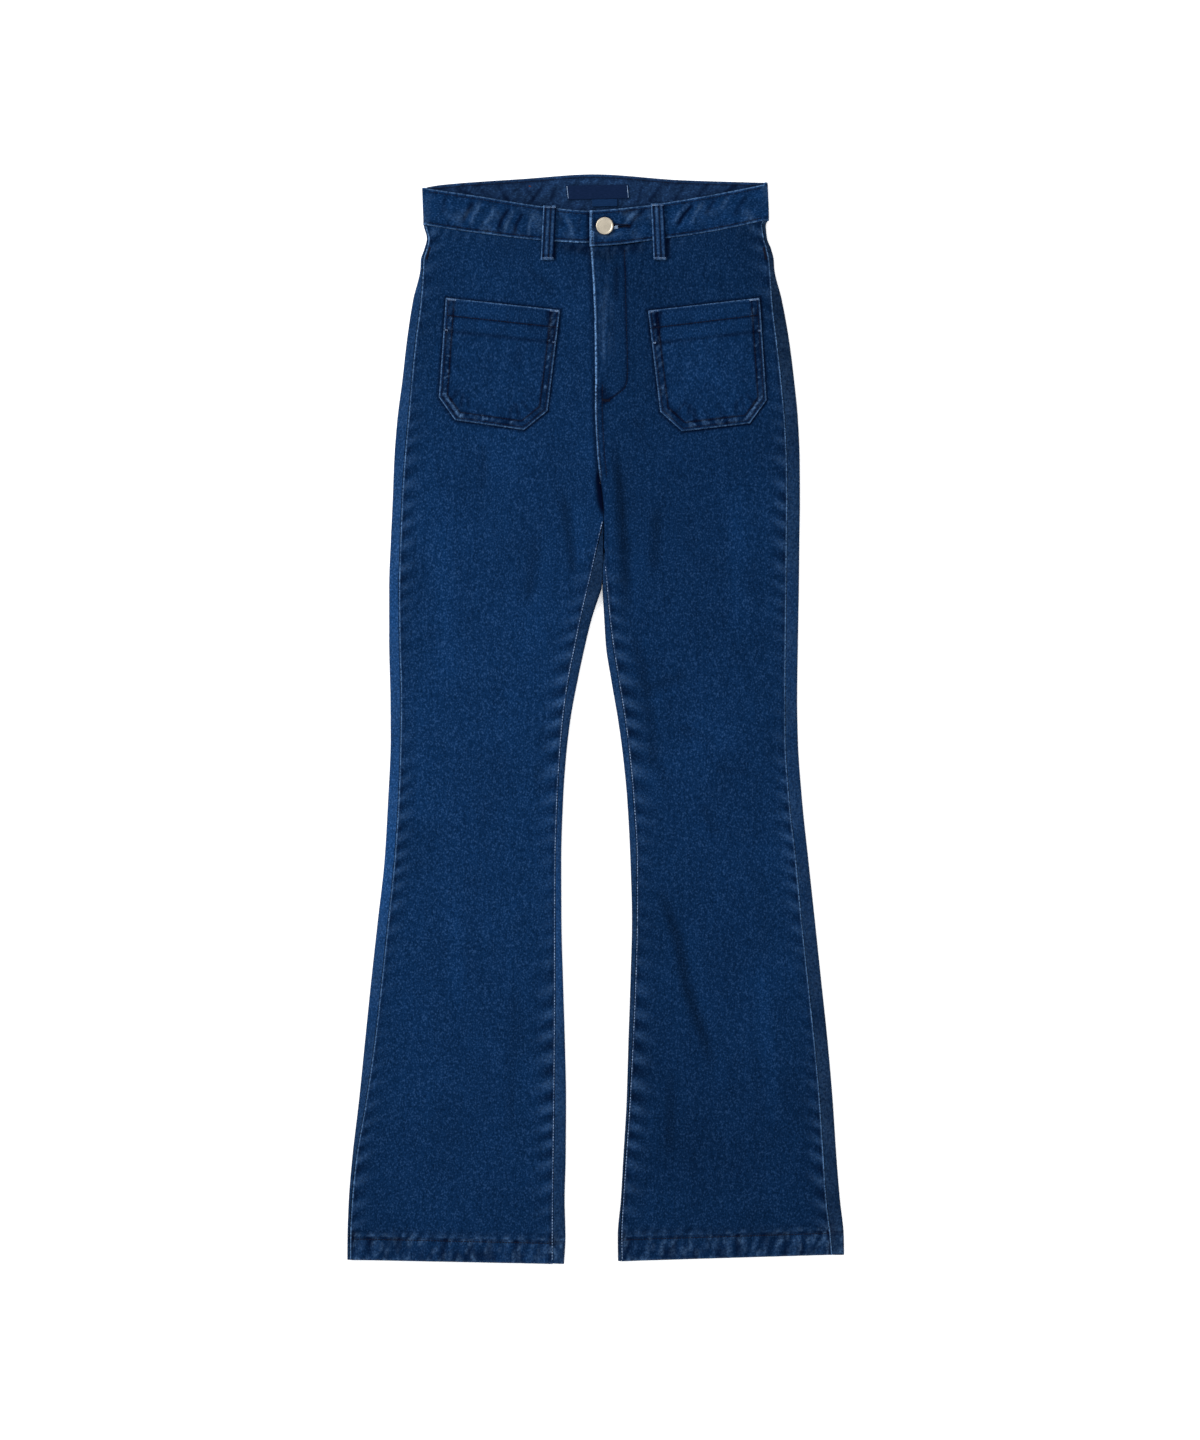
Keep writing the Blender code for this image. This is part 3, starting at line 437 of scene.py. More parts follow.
# The largest folds, as in the part's source, and then the finer creases between them
FOLDS = crease_rows(
    (11, 1.3, -4, 262, -3, 345), (12, 2.2, 14, 255, 14, 420), (17, 1.1, 45, 285, 43, 440),
    (20, 0.8, 82, 300, 76, 410), (12, 1.5, -18, 310, -12, 400), (16, 1, -47, 330, -50, 440),
    (24, 0.8, -95, 240, -92, 400), (14, 0.7, -75, 78, -33, 120), (14, 0.9, 48, 520, 66, 640),
    (20, 0.8, -92, 500, -60, 590), (18, 1.4, 92, 720, 128, 930), (12, 0.8, 84, 880, 88, 1000),
    (22, 0.8, -120, 800, -116, 940),
)
CREASES = crease_rows(
    (9, -0.9, 15.7, 250, 23.8, 306.7, 25.8, 339, 28.7, 378, 30.7, 444),
    (10, -0.6, 30.7, 430, 43.4, 476, 51.3, 515, 56.2, 574, 75.8, 611),
    (9, -0.6, 60.1, 318, 58.5, 360, 56.2, 400), (9, -0.7, -33, 305, -25.2, 361, -22.2, 402),
    (10, -0.5, -56.5, 345, -62.4, 391, -68, 425), (9, -0.35, -110.4, 262, -110.4, 315),
    (8, -0.4, -70, 91, -36, 118), (8, -0.3, 36, 238, 48, 252), (8, -0.4, 46, 506, 92, 488),
    (8, 0.3, 46, 520, 84, 505), (8, -0.35, 75, 540, 122, 558), (8, -0.3, 112, 582, 152, 587),
    (9, -0.35, 103, 616, 121, 650), (10, -0.8, 58, 685, 79.7, 748, 89.5, 797, 109, 856, 117, 890),
    (9, -0.45, 72.8, 870, 72.8, 965), (8, -0.3, -100, 512, -74, 534), (8, -0.3, -58, 572, -54, 615),
    (14, 0.4, -140, 700, -132, 830), (12, -0.35, -78, 780, -84, 960), (14, 0.45, 160, 760, 176, 940),
    (16, 0.4, -150, 330, -146, 520), (16, 0.45, 140, 300, 138, 470), (9, -0.5, -32, 70, 26, 84),
    (4, 0.35, 9, 125, 8, 190), (5, -0.45, 20.5, 85, 20, 125),
)
# Rows of (down, share): painted light over each leg as a whole, the left leg lit more than the right as from
# a lamp at the upper left, both darker towards the waist and the hems
PAINTED_LEG_LIGHT = {
    Side.LEFT: (
        (75, 0.86), (170, 0.93), (270, 0.98), (380, 1.03), (520, 1.06), (660, 1.06), (760, 1.01),
        (910, 0.95), (1010, 0.91),
    ),
    Side.RIGHT: (
        (75, 0.82), (170, 0.9), (270, 0.95), (380, 0.98), (520, 1.03), (660, 1.02), (760, 0.96),
        (910, 0.86), (1010, 0.84),
    ),
}
# Rows of (down, share) on the backs' strips beside the side seams, and beside the inseams: painted light and
# shade on the strips, which turn up round the folds
SIDE_STRIPS = {
    Side.LEFT: (
        (120, 1.05), (180, 0.94), (240, 1.14), (360, 1.28), (420, 1.5), (510, 1.24), (600, 1.32),
        (660, 1.65), (780, 1.14), (900, 0.88),
    ),
    Side.RIGHT: (
        (120, 0.54), (180, 0.54), (240, 0.72), (300, 0.9), (420, 1.05), (540, 1.02), (600, 0.9),
        (720, 0.82), (800, 0.72), (900, 0.68), (1020, 0.78),
    ),
}
INSEAM_STRIPS = {
    Side.LEFT: (
        (340, 0.34), (395, 0.38), (430, 0.48), (480, 0.62), (560, 0.62), (720, 1.2), (780, 1.25),
        (850, 0.86), (960, 0.72), (1030, 0.66),
    ),
    Side.RIGHT: ((340, 0.75), (430, 1.1), (510, 1.3), (600, 1.2), (800, 0.9), (1030, 0.8)),
}
# Down of the painted shade in the fold between the legs, and how far left it reaches from the centre seam;
# the fold's share paints shade too
CROTCH_REACH = ((290, 1.6), (302, 5.6), (318, 6.4), (330, 4), (342, 1.6))
CROTCH_FOLD = Crease(((1.8, 282), (3, 298), (4.4, 314), (6.6, 340)), 6, -1.5)
SIDE_PUCKERS = Puckers(pitch=19, reach=11, depth=0.34, slant=0.5, phase=0.4)
INSEAM_PUCKERS = Puckers(pitch=21.6, reach=13, depth=0.42, slant=-0.35, phase=1.7)
WAIST_PUCKERS = Puckers(pitch=11, reach=9, depth=0.22, slant=0.3, phase=2.3)
HEM_ROPING = Puckers(pitch=13, reach=26, depth=0.2, slant=0.3, phase=0.9)
HEM_TOP_PUCKERS = Puckers(pitch=13, reach=6, depth=0.2, slant=0.4, phase=0.2)


# ---- how the cloth lies

class ClothForm:
    """Outline, seams and heights of the cloth on one side of the jeans."""

    def __init__(self, side: Side) -> None:
        """Fit the smooth lines of one side."""
        self.side = side
        self.sign = side.value
        self.stations = STATIONS[side]
        self.outline = SmoothLine([(down, outline) for down, outline, _ in SIDE_EDGES[side]])
        self.side_seam = SmoothLine([(down, seam) for down, _, seam in SIDE_EDGES[side]])
        self.inseam = SmoothLine([(down, seam) for down, seam, _ in INNER_EDGES[side]])
        self.inner_outline = SmoothLine([(down, outline) for down, _, outline in INNER_EDGES[side]])
        self.waist_seam = waist_seam[side]
        # painted light over the whole leg
        self.fade = SmoothLine(PAINTED_LEG_LIGHT[side])

    def rows(self) -> Array:
        """Return the panel's rows.

        Returns:
            One line for each row: its number in the part's source, then down at the
            side, at the inner edge and at the inner fold.
        """
        first = self.stations[0]
        lines = [(0, first.side, first.inner, first.fold)]
        number = 0
        for above, here in zip(self.stations, self.stations[1:]):
            reach = max(here.side - above.side, here.inner - above.inner, here.fold - above.fold)
            steps = max(2, round(reach / ROW_PITCH))
            for step in range(1, steps + 1):
                t = step / steps
                lines.append((
                    number + t * here.steps, mix(above.side, here.side, t),
                    mix(above.inner, here.inner, t), mix(above.fold, here.fold, t),
                ))
            number += here.steps
        return np.array(lines)

    def station(self, name: str) -> Station:
        """Return the station of that name."""
        return next(station for station in self.stations if station.name == name)

    def hem_share(self, down: Array, across: Number) -> Array:
        """Return 0 above the hem's stitch line and 1 on the hem.

        Args:
            down: places below the back waist.
            across: 0 at the side of the leg, 1 at its inside.

        Returns:
            Shares from 0 to 1.
        """
        stitch, top = self.station("hem stitch"), self.station("hem top")
        start = mix(stitch.side, stitch.inner, across)
        end = mix(top.side, top.inner, across)
        return smoothstep((down - start) / (end - start))

    def inner_limit(self, down: Array) -> Array:
        """Return out of the inner fold below the crotch, and of the centre line above it."""
        return np.where(down >= APEX_DOWN, self.inner_outline(down), self.sign * front_rise(down))

    def spans(self, out: Array, down: Array) -> tuple[Array, Array, Array]:
        """Return distances from the side and the inside, and the share of the way across."""
        from_side = self.outline(down) - out
        from_inside = out - self.inner_limit(down)
        return from_side, from_inside, from_side / np.maximum(from_side + from_inside, 1)

    def base_height(self, out: Array, down: Array) -> Array:
        """Return the top cloth's height with the largest folds only, as the solids have it."""
        from_side, from_inside, across = self.spans(out, down)
        rest = mix(WAIST_HEIGHT, REST_HEIGHT, ramp(down, *WAIST_FADE))
        rest += HEM_RISE_HEIGHT * ramp(down, *HEM_RISE)
        rest = mix(rest, HEM_HEIGHT, self.hem_share(down, across))
        crown = 2 * FOLD_RADIUS
        swell = (FOLD_RADIUS, FOLD_RADIUS + FOLD_SWELL)
        share_side = fall(from_side, *swell)
        share_inside = fall(from_inside, *swell) * ramp(down, *LEG_FADE)
        height = rest + (crown - rest) * np.minimum(share_side + share_inside, 1)
        x = self.sign * out
        clear = self.clear_of_folds(from_side, from_inside, down)
        height += clear * relief_of(FOLDS, x, down)
        if self.side is Side.RIGHT:
            height += fly_lift(x, down)
        return self.round_off(height, from_side)

    def clear_of_folds(self, from_side: Array, from_inside: Array, down: Array) -> Array:
        """Return 0 on the leg's folds and 1 well inside them."""
        clear = (FOLD_RADIUS, FOLD_RADIUS + RELIEF_CLEAR)
        inside = np.where(down >= APEX_DOWN, ramp(from_inside, *clear), 1)
        return ramp(from_side, *clear) * inside

    @staticmethod
    def round_off(height: Array, from_side: Array) -> Array:
        """Lower the cloth along the arc of the side fold."""
        miss = 1 - np.clip(from_side, 0, FOLD_RADIUS) / FOLD_RADIUS
        arc = FOLD_RADIUS + (height - FOLD_RADIUS) * np.sqrt(1 - miss * miss)
        return np.where(from_side < FOLD_RADIUS, arc, height)

    def height(self, out: Array, down: Array) -> Array:
        """Return the top cloth's height with its creases, puckers and soft unevenness."""
        from_side, from_inside, _ = self.spans(out, down)
        x = self.sign * out
        clear = self.clear_of_folds(from_side, from_inside, down)
        height = self.base_height(out, down)
        height += clear * relief_of(CREASES, x, down)
        height += CROTCH_FOLD.relief(x, down)
        height += 0.28 * clear * unevenness(x, down, 46, 3)
        height += 0.09 * clear * unevenness(x, down, 14, 7)
        return height + self.seam_puckers(out, down)

    def tone(self, out: Array, down: Array) -> Array:
        """Return the painted light and shade: ridges lighter, troughs darker and each leg lit as a whole,
        with random tone.
        """
        x = self.sign * out
        tone = 0.055 * relief_of(FOLDS, x, down)
        tone += 0.48 * relief_of(CREASES, x, down)
        tone += 0.5 * self.seam_puckers(out, down)
        tone += 0.09 * unevenness(x, down, 58, 13)
        return tone + 0.07 * unevenness(x, down / 1.8, 13, 17) + self.fade(down) - 1

    def hem_masks(self, out: Array, down: Array, across: Number) -> tuple[Array, Array]:
        """Paint the hem: its rubbed step, its stitched line and the streaks that its roping leaves.

        Args:
            out: distances out from the centre line.
            down: places below the back waist.
            across: 0 at the side of the leg, 1 at its inside.

        Returns:
            The rubbed mask and the dark mask.
        """
        x = self.sign * out
        hem = self.hem_share(down, across)
        stitch, edge = self.station("hem stitch"), self.station("hem edge")
        beyond = down - mix(stitch.side, stitch.inner, across)
        to_edge = mix(edge.side, edge.inner, across) - down
        patchy = unevenness(x, down * 0, 7, 5)
        rubbed = 0.52 if self.side is Side.LEFT else 0.34
        wear = rubbed * bell(beyond, -0.9, 0.9) * ramp(patchy, -0.15, 0.25)
        wear += 0.14 * fall(to_edge, 0.5, 2)
        shade = 0.75 * bell(beyond, 1.9, 1.1) * (0.75 - 0.6 * patchy)
        shade += 0.2 * bell(beyond, -4.2, 2)
        shade += 0.25 * bell(to_edge, 8, 1.8) * (0.5 + patchy)
        slanted = x + 0.12 * down
        wear += 0.2 * hem * ramp(unevenness(slanted, down * 0.45, 4.5, 9), 0.05, 0.5)
        shade += 0.5 * hem * ramp(-unevenness(slanted, down * 0.3, 9, 2), -0.05, 0.4)
        near_seams = np.minimum(np.abs(self.side_seam(down) - out), np.abs(out - self.inseam(down)))
        knot = bell(near_seams, 0, 4.2) * bell(beyond, 1, 5.5)
        return wear, shade + 0.85 * knot

    def seam_puckers(self, out: Array, down: Array) -> Array:
        """Return the ripples that the seams draw into the cloth beside them."""
        x = self.sign * out
        above_hem = 1 - self.hem_share(down, 0.5)
        beside = self.side_seam(down) - out
        ripple = SIDE_PUCKERS.relief(down, beside) * ramp(beside, -4, 5) * above_hem
        below_crotch = ramp(down, 330, 400)
        beside = out - self.inseam(down)
        ripple += INSEAM_PUCKERS.relief(down, beside) * ramp(beside, -3, 5) * (
            below_crotch * above_hem)
        below = down - self.waist_seam(x)
        ripple += WAIST_PUCKERS.relief(x, below) * ramp(below, 0, 4)
        hem = self.hem_share(down, 0.5)
        stitch = mix(self.station("hem stitch").side, self.station("hem stitch").inner, 0.5)
        ripple += hem * HEM_ROPING.relief(x, down - stitch - 10)
        return ripple + (1 - hem) * HEM_TOP_PUCKERS.relief(x, down - stitch)


def fly_lift(x: Array, down: Array) -> Array:
    """Return how much the fly's extra layers raise the right front."""
    across = x - front_rise(down)
    share = 1
    for start, end, drop in FLY_STEPS:
        share = share - drop * ramp(across, start, end)
    return FLY_LIFT * share * fall(down, *FLY_FADE)


FORMS = {side: ClothForm(side) for side in Side}


def front_base_height(x: Array, down: Array) -> Array:
    """Return the height of the front's outer face, with its largest folds only."""
    left = FORMS[Side.LEFT].base_height(-x, down)
    right = FORMS[Side.RIGHT].base_height(x, down)
    return np.where(x > front_rise(down), right, left)


# ---- shells

@dataclass
class Grid:
    """Points of a cloth's outer face in rows, with what its finish reads at each point.

    A point that is missing from its row has a height of nan.
    """

    x: Array
    down: Array
    z: Array
    wall: Array = None
    # The pale mask holds rubbed wear and painted highlights on ridges and edges; the shade mask holds painted
    # shade and painted shadows with the dark of seams; tone holds painted light and shade of the folds with
    # random tone.
    wear: Array = None
    shade: Array = None
    tone: Array = None
    cut: Array = None

    def __post_init__(self) -> None:
        """Fill in what wasn't given."""
        shape = self.z.shape
        self.wall = np.ones(shape) if self.wall is None else self.wall
        self.wear = np.zeros(shape) if self.wear is None else self.wear
        self.shade = np.zeros(shape) if self.shade is None else self.shade
        self.tone = np.zeros(shape) if self.tone is None else self.tone
        if self.cut is None:
            self.cut = np.zeros((shape[0] - 1, shape[1] - 1), bool)


@dataclass(frozen=True)
class Shell:
    """How a grid becomes a piece of cloth; it holds flats = (width, length, area) in metres."""

    name: str
    thickness: float
    face_up: bool
    replaces: str
    slot: str
    flats: tuple[float, float, float | None]
    rests_on: list[str]

    def build(self, grid: Grid, finish: Material,
              inside: Material | None = None) -> Piece:
        """Make the cloth.

        Args:
            grid: points of the outer face.
            finish: material of the outer face.
            inside: material of the inner face, where it differs.

        Returns:
            The piece, riding on the part's body.
        """
        here = ~np.isnan(grid.z)
        index = np.full(here.shape, -1)
        index[here] = np.arange(here.sum())
        points = points_in_metres(grid.x[here], grid.down[here], grid.z[here])
        quads = np.stack([index[:-1, :-1], index[:-1, 1:], index[1:, 1:], index[1:, :-1]], axis=-1)
        quads = quads[(quads >= 0).all(axis=-1) & ~grid.cut]
        across = points[quads[:, 2]] - points[quads[:, 0]]
        along = points[quads[:, 3]] - points[quads[:, 1]]
        normals = np.cross(across, along)
        widest = np.abs(normals[:, 2]).argmax()
        if (normals[widest, 2] > 0) != self.face_up:
            quads = quads[:, ::-1]
        mesh = bpy.data.meshes.new(self.name)
        mesh.from_pydata(points.tolist(), [], quads.tolist())
        tone = grid.tone / 2 + 0.5
        for name, values in (("wear", grid.wear), ("shade", grid.shade), ("tone", tone)):
            attribute = mesh.attributes.new(name, "FLOAT", "POINT")
            attribute.data.foreach_set("value", np.clip(values[here], 0, 1).astype(np.float32))
        mesh.materials.append(finish)
        piece = add_piece(self.name, mesh, self.slot)
        piece.data.shade_smooth()
        self.add_wall(piece, grid.wall[here])
        if inside is not None:
            mesh.materials.append(inside)
            piece.modifiers["wall"].material_offset = 1
        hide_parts(self.replaces)
        width, length, area = self.flats
        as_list(self.rests_on)
        return piece

    def add_wall(self, piece: Piece, shares: Array) -> None:
        """Give the piece its thickness, by the share of it at each point."""
        wall = piece.modifiers.new("wall", "SOLIDIFY")
        wall.thickness = self.thickness * MM
        wall.offset = -1
        wall.use_quality_normals = True
        if shares.min() < 1:
            group = piece.vertex_groups.new(name="wall")
            steps = np.round(shares * 50).astype(int)
            for step in np.unique(steps):
                group.add(np.flatnonzero(steps == step).tolist(), float(step) / 50, "REPLACE")
            wall.vertex_group = "wall"


def add_piece(name: str, mesh: bpy.types.Mesh, slot: str) -> Piece:
    """Put a mesh into the scene as a piece of the part.

    Args:
        name: the piece's name.
        mesh: its mesh, in the shared frame.
        slot: the record's material slot; not used.

    Returns:
        The new piece.
    """
    piece = bpy.data.objects.new(name, mesh)
    bpy.context.scene.collection.objects.link(piece)
    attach(piece, "root")
    return piece


# ---- stitching

@dataclass(frozen=True)
class Stitch:
    """Size of one stitch, and the pitch from one to the next."""

    pitch: float
    length: float
    width: float
    rise: float = 0.22


TOPSTITCH = Stitch(pitch=2.9, length=2.3, width=0.75)
FINE_STITCH = Stitch(pitch=2.5, length=1.9, width=0.6)
TACK_STITCH = Stitch(pitch=0.62, length=2.6, width=0.5)


class Stitching:
    """Rows of stitches in one thread, gathered into one mesh."""

    RINGS = ((0, 0.35), (0.18, 0.85), (0.5, 1), (0.82, 0.85), (1, 0.35))
    ROUND = 6

    def __init__(self, name: str, thread: Material, slot: str) -> None:
        """Start an empty mesh.

        Args:
            name: the piece's name.
            thread: its material.
            slot: the record's material slot of the cloth that it is sewn into.
        """
        self.name = name
        self.thread = thread
        self.slot = slot
        self.points: list[Array] = []
        self.faces: list[Array] = []
        self.count = 0

    @staticmethod
    def resample(line: Array, pitch: float) -> tuple[Array, Array]:
        """Return evenly spaced points on a line and the line's direction at each."""
        steps = np.hypot(*np.diff(line, axis=0).T)
        run = np.concatenate([[0], np.cumsum(steps)])
        at = np.arange(pitch / 2, run[-1], pitch)
        points = np.stack([np.interp(at, run, line[:, k]) for k in range(2)], axis=1)
        ahead = np.stack([np.interp(at + 0.4, run, line[:, k]) for k in range(2)], axis=1)
        behind = np.stack([np.interp(at - 0.4, run, line[:, k]) for k in range(2)], axis=1)
        direction = ahead - behind
        return points, direction / np.maximum(np.hypot(*direction.T)[:, None], 1e-9)

    def row(self, line: Points, surface: Surface, stitch: Stitch,
            turned: bool = False) -> None:
        """Sew along a line.

        Args:
            line: (x, down) points.
            surface: height of the cloth that it is sewn into.
            stitch: the size of the stitches.
            turned: whether the stitches lie across the line, as on a bar tack.
        """
        middle, direction = self.resample(np.array(line, float), stitch.pitch)
        if turned:
            direction = np.stack([-direction[:, 1], direction[:, 0]], axis=1)
        ends = [middle - direction * stitch.length / 2, middle + direction * stitch.length / 2]
        start, end = (
            points_in_metres(p[:, 0], p[:, 1], surface(p[:, 0], p[:, 1])) for p in ends
        )
        self.add(start, end, stitch)

    def add(self, start: Array, end: Array, stitch: Stitch) -> None:
        """Add one bead of thread from each start to its end, both in metres."""
        run = end - start
        up = np.array([0, 0, 1])
        beside = np.cross(run, up)
        beside /= np.maximum(np.linalg.norm(beside, axis=1)[:, None], 1e-12)
        beads = []
        for share, girth in self.RINGS:
            middle = start + run * share + up * stitch.rise * MM * 4 * share * (1 - share)
            for k in range(self.ROUND):
                angle = 2 * math.pi * k / self.ROUND
                radius = stitch.width / 2 * MM * girth
                beads.append(middle + beside * radius * math.cos(angle) + up * radius * math.sin(angle))
        points = np.stack(beads, axis=1)
        rings, sides = len(self.RINGS), self.ROUND
        faces = []
        for ring in range(rings - 1):
            for k in range(sides):
                a, b = ring * sides + k, ring * sides + (k + 1) % sides
                faces.append((a, b, b + sides, a + sides))
        for ring in (0, rings - 1):
            loop = [ring * sides + k for k in range(sides)]
            loop = loop if ring else loop[::-1]
            faces += [(loop[0], loop[1], loop[2], loop[3]), (loop[0], loop[3], loop[4], loop[5])]
        offsets = self.count + np.arange(len(points))[:, None, None] * rings * sides
        self.faces.append((np.array(faces)[None] + offsets).reshape(-1, 4))
        self.points.append(points.reshape(-1, 3))
        self.count += len(points) * rings * sides

    def build(self) -> Piece:
        """Make the piece."""
        mesh = bpy.data.meshes.new(self.name)
        mesh.from_pydata(np.concatenate(self.points).tolist(), [], np.concatenate(self.faces).tolist())
        mesh.materials.append(self.thread)
        mesh.shade_smooth()
        return add_piece(self.name, mesh, self.slot)


# ---- finishes

class Graph:
    """Adds shader nodes to one tree and links them."""

    def __init__(self, tree: NodeTree) -> None:
        """Work in that tree."""
        self.tree = tree

    def fill(self, node: Node, inputs: dict) -> Node:
        """Set a node's inputs to values, or link them to other nodes' outputs."""
        for name, value in inputs.items():
            if isinstance(value, Socket):
                self.tree.links.new(value, node.inputs[name])
            else:
                node.inputs[name].default_value = value
        return node

    def add(self, kind: str, inputs: dict | None = None, **settings: object) -> Node:
        """Add a node.

        Args:
            kind: the node's type, without ShaderNode before it.
            inputs: a value, or another node's output, for each named or numbered input.
            settings: the node's own properties.

        Returns:
            The new node.
        """
        node = self.tree.nodes.new("ShaderNode" + kind)
        for name, value in settings.items():
            setattr(node, name, value)
        return self.fill(node, inputs or {})

    def maths(self, operation: str, a: object, b: object) -> Socket:
        """Return the outcome of a Math node."""
        return self.add("Math", {0: a, 1: b}, operation=operation).outputs[0]

    def total(self, *terms: tuple[Socket, object], base: object = 0) -> Socket:
        """Return the base with every value added to it, each times its weight."""
        for value, weight in terms:
            base = self.add("Math", {0: value, 1: weight, 2: base}, operation="MULTIPLY_ADD").outputs[0]
        return base

    def blend(self, factor: object, a: object, b: object, mode: str = "MIX") -> Socket:
        """Return two colours mixed by a factor."""
        return self.add("Mix", {0: factor, 6: a, 7: b}, data_type="RGBA", blend_type=mode).outputs[2]

    def spread(self, value: object, low: object, high: float) -> Socket:
        """Return value mapped from low..high to 0..1 and kept there."""
        return self.add("MapRange", {0: value, 1: low, 2: high, 3: 0, 4: 1}, clamp=True).outputs[0]

    def grain(self, vector: object, scale: tuple[float, float, float], detail: float) -> Socket:
        """Return noise whose grains are one over scale metres long each way."""
        scaled = self.add("VectorMath", {0: vector, 1: scale}, operation="MULTIPLY").outputs[0]
        return self.add("TexNoise", {"Vector": scaled, "Scale": 1, "Detail": detail}).outputs[0]

    def bump(self, height: Socket, strength: float, distance: float) -> Socket:
        """Return the normal over a height that is distance metres high."""
        inputs = {"Strength": strength, "Distance": distance, "Height": height}
        return self.add("Bump", inputs).outputs[0]


def new_group(name: str, inputs: dict[str, tuple[str, object]],
              outputs: Sequence[str]) -> tuple[Graph, bpy.types.bpy_prop_collection, Node]:
    """Start a shader node group.

    Args:
        name: the group's name.
        inputs: kind of socket and default value for each input's name.
        outputs: names of the outputs, all of them numbers.

    Returns:
        The graph to build in, the group's inputs to read from, and its output node.
    """
    tree = bpy.data.node_groups.new(name, "ShaderNodeTree")
    for label, (kind, value) in inputs.items():
        socket = tree.interface.new_socket(name=label, in_out="INPUT", socket_type="NodeSocket" + kind)
        if value is not None:
            socket.default_value = value
    for label in outputs:
        tree.interface.new_socket(name=label, in_out="OUTPUT", socket_type="NodeSocketFloat")
    source, sink = tree.nodes.new("NodeGroupInput"), tree.nodes.new("NodeGroupOutput")
    return Graph(tree), source.outputs, sink


def denim_weave_group() -> NodeTree:
    """Build the yarns of denim: uneven warp, its slubs, a twill line and the height of it all."""
    graph, given, sink = new_group(
        "denim_weave",
        {"Place": ("Vector", None), "Along": ("Float", 1), "Slub Reach": ("Float", 0.5)},
        ("Yarn", "Slub", "Height"))
    axes = graph.add("SeparateXYZ", {0: given["Place"]}).outputs
    turned = graph.add("CombineXYZ", {0: axes[1], 1: axes[0], 2: axes[2]}).outputs[0]
    vector = graph.add(
        "Mix", {0: given["Along"], 4: turned, 5: given["Place"]}, data_type="VECTOR").outputs[1]
    warp = graph.grain(vector, (1000, 260, 1000), 2)
    speckle = graph.grain(vector, (700, 510, 700), 1.5)
    slub = graph.grain(vector, (700, 80, 700), 1)
    mottle = graph.grain(vector, (480, 430, 480), 3)
    ribbing = graph.grain(vector, (430, 30, 430), 2)
    mixed = graph.total((warp, 0.16), (speckle, 0.54), (mottle, 0.18), (ribbing, 0.12))
    yarn = graph.spread(mixed, 0.36, 0.67)
    low = graph.total((given["Slub Reach"], -0.14), base=0.74)
    light = graph.maths("MULTIPLY", graph.spread(speckle, 0.56, 0.72), 0.8)
    bright = graph.maths("MULTIPLY", graph.spread(slub, low, 0.86), graph.spread(speckle, 0.42, 0.62))
    skewed = graph.add("Mapping", {"Vector": vector, "Rotation": (0, 0, math.radians(27))}).outputs[0]
    twill = graph.add("TexWave", {
        "Vector": skewed, "Scale": 165, "Distortion": 1.6, "Detail": 1, "Detail Scale": 2.2,
    }, wave_type="BANDS").outputs[1]
    graph.fill(sink, {
        "Yarn": yarn, "Slub": graph.maths("MAXIMUM", light, bright),
        "Height": graph.total((twill, 0.35), base=yarn)})
    return graph.tree


def rubbed_edge_group() -> NodeTree:
    """Build the rubbing of raised edges and the painted highlights: a painted mask broken up along the cloth.
    """
    graph, given, sink = new_group(
        "rubbed_edge",
        {"Place": ("Vector", None), "Mask": ("Float", 0), "Break Up": ("Float", 0.5)}, ("Rubbed",))
    coarse = graph.grain(given["Place"], (420, 420, 420), 2)
    fine = graph.grain(given["Place"], (1400, 1400, 1400), 1)
    broken = graph.spread(graph.total((coarse, 0.6), (fine, 0.4)), 0.42, 0.58)
    keep = graph.maths("SUBTRACT", 1, given["Break Up"])
    level = graph.total((broken, given["Break Up"]), base=keep)
    graph.fill(sink, {"Rubbed": graph.maths("MULTIPLY", given["Mask"], level)})
    return graph.tree


@dataclass(frozen=True)
class EffectGroups:
    """The node groups that the materials share."""

    weave: NodeTree
    rubbed: NodeTree


@dataclass(frozen=True)
class Finish:
    """A material, known by its name."""

    name: str

    def start(self) -> tuple[Material, Graph, Node, Socket]:
        """Return the new material, its graph, its shader, and the place on the piece."""
        material = bpy.data.materials.new(self.name)
        material.use_nodes = True
        graph = Graph(material.node_tree)
        shader = material.node_tree.nodes["Principled BSDF"]
        return material, graph, shader, graph.add("TexCoord").outputs["Object"]


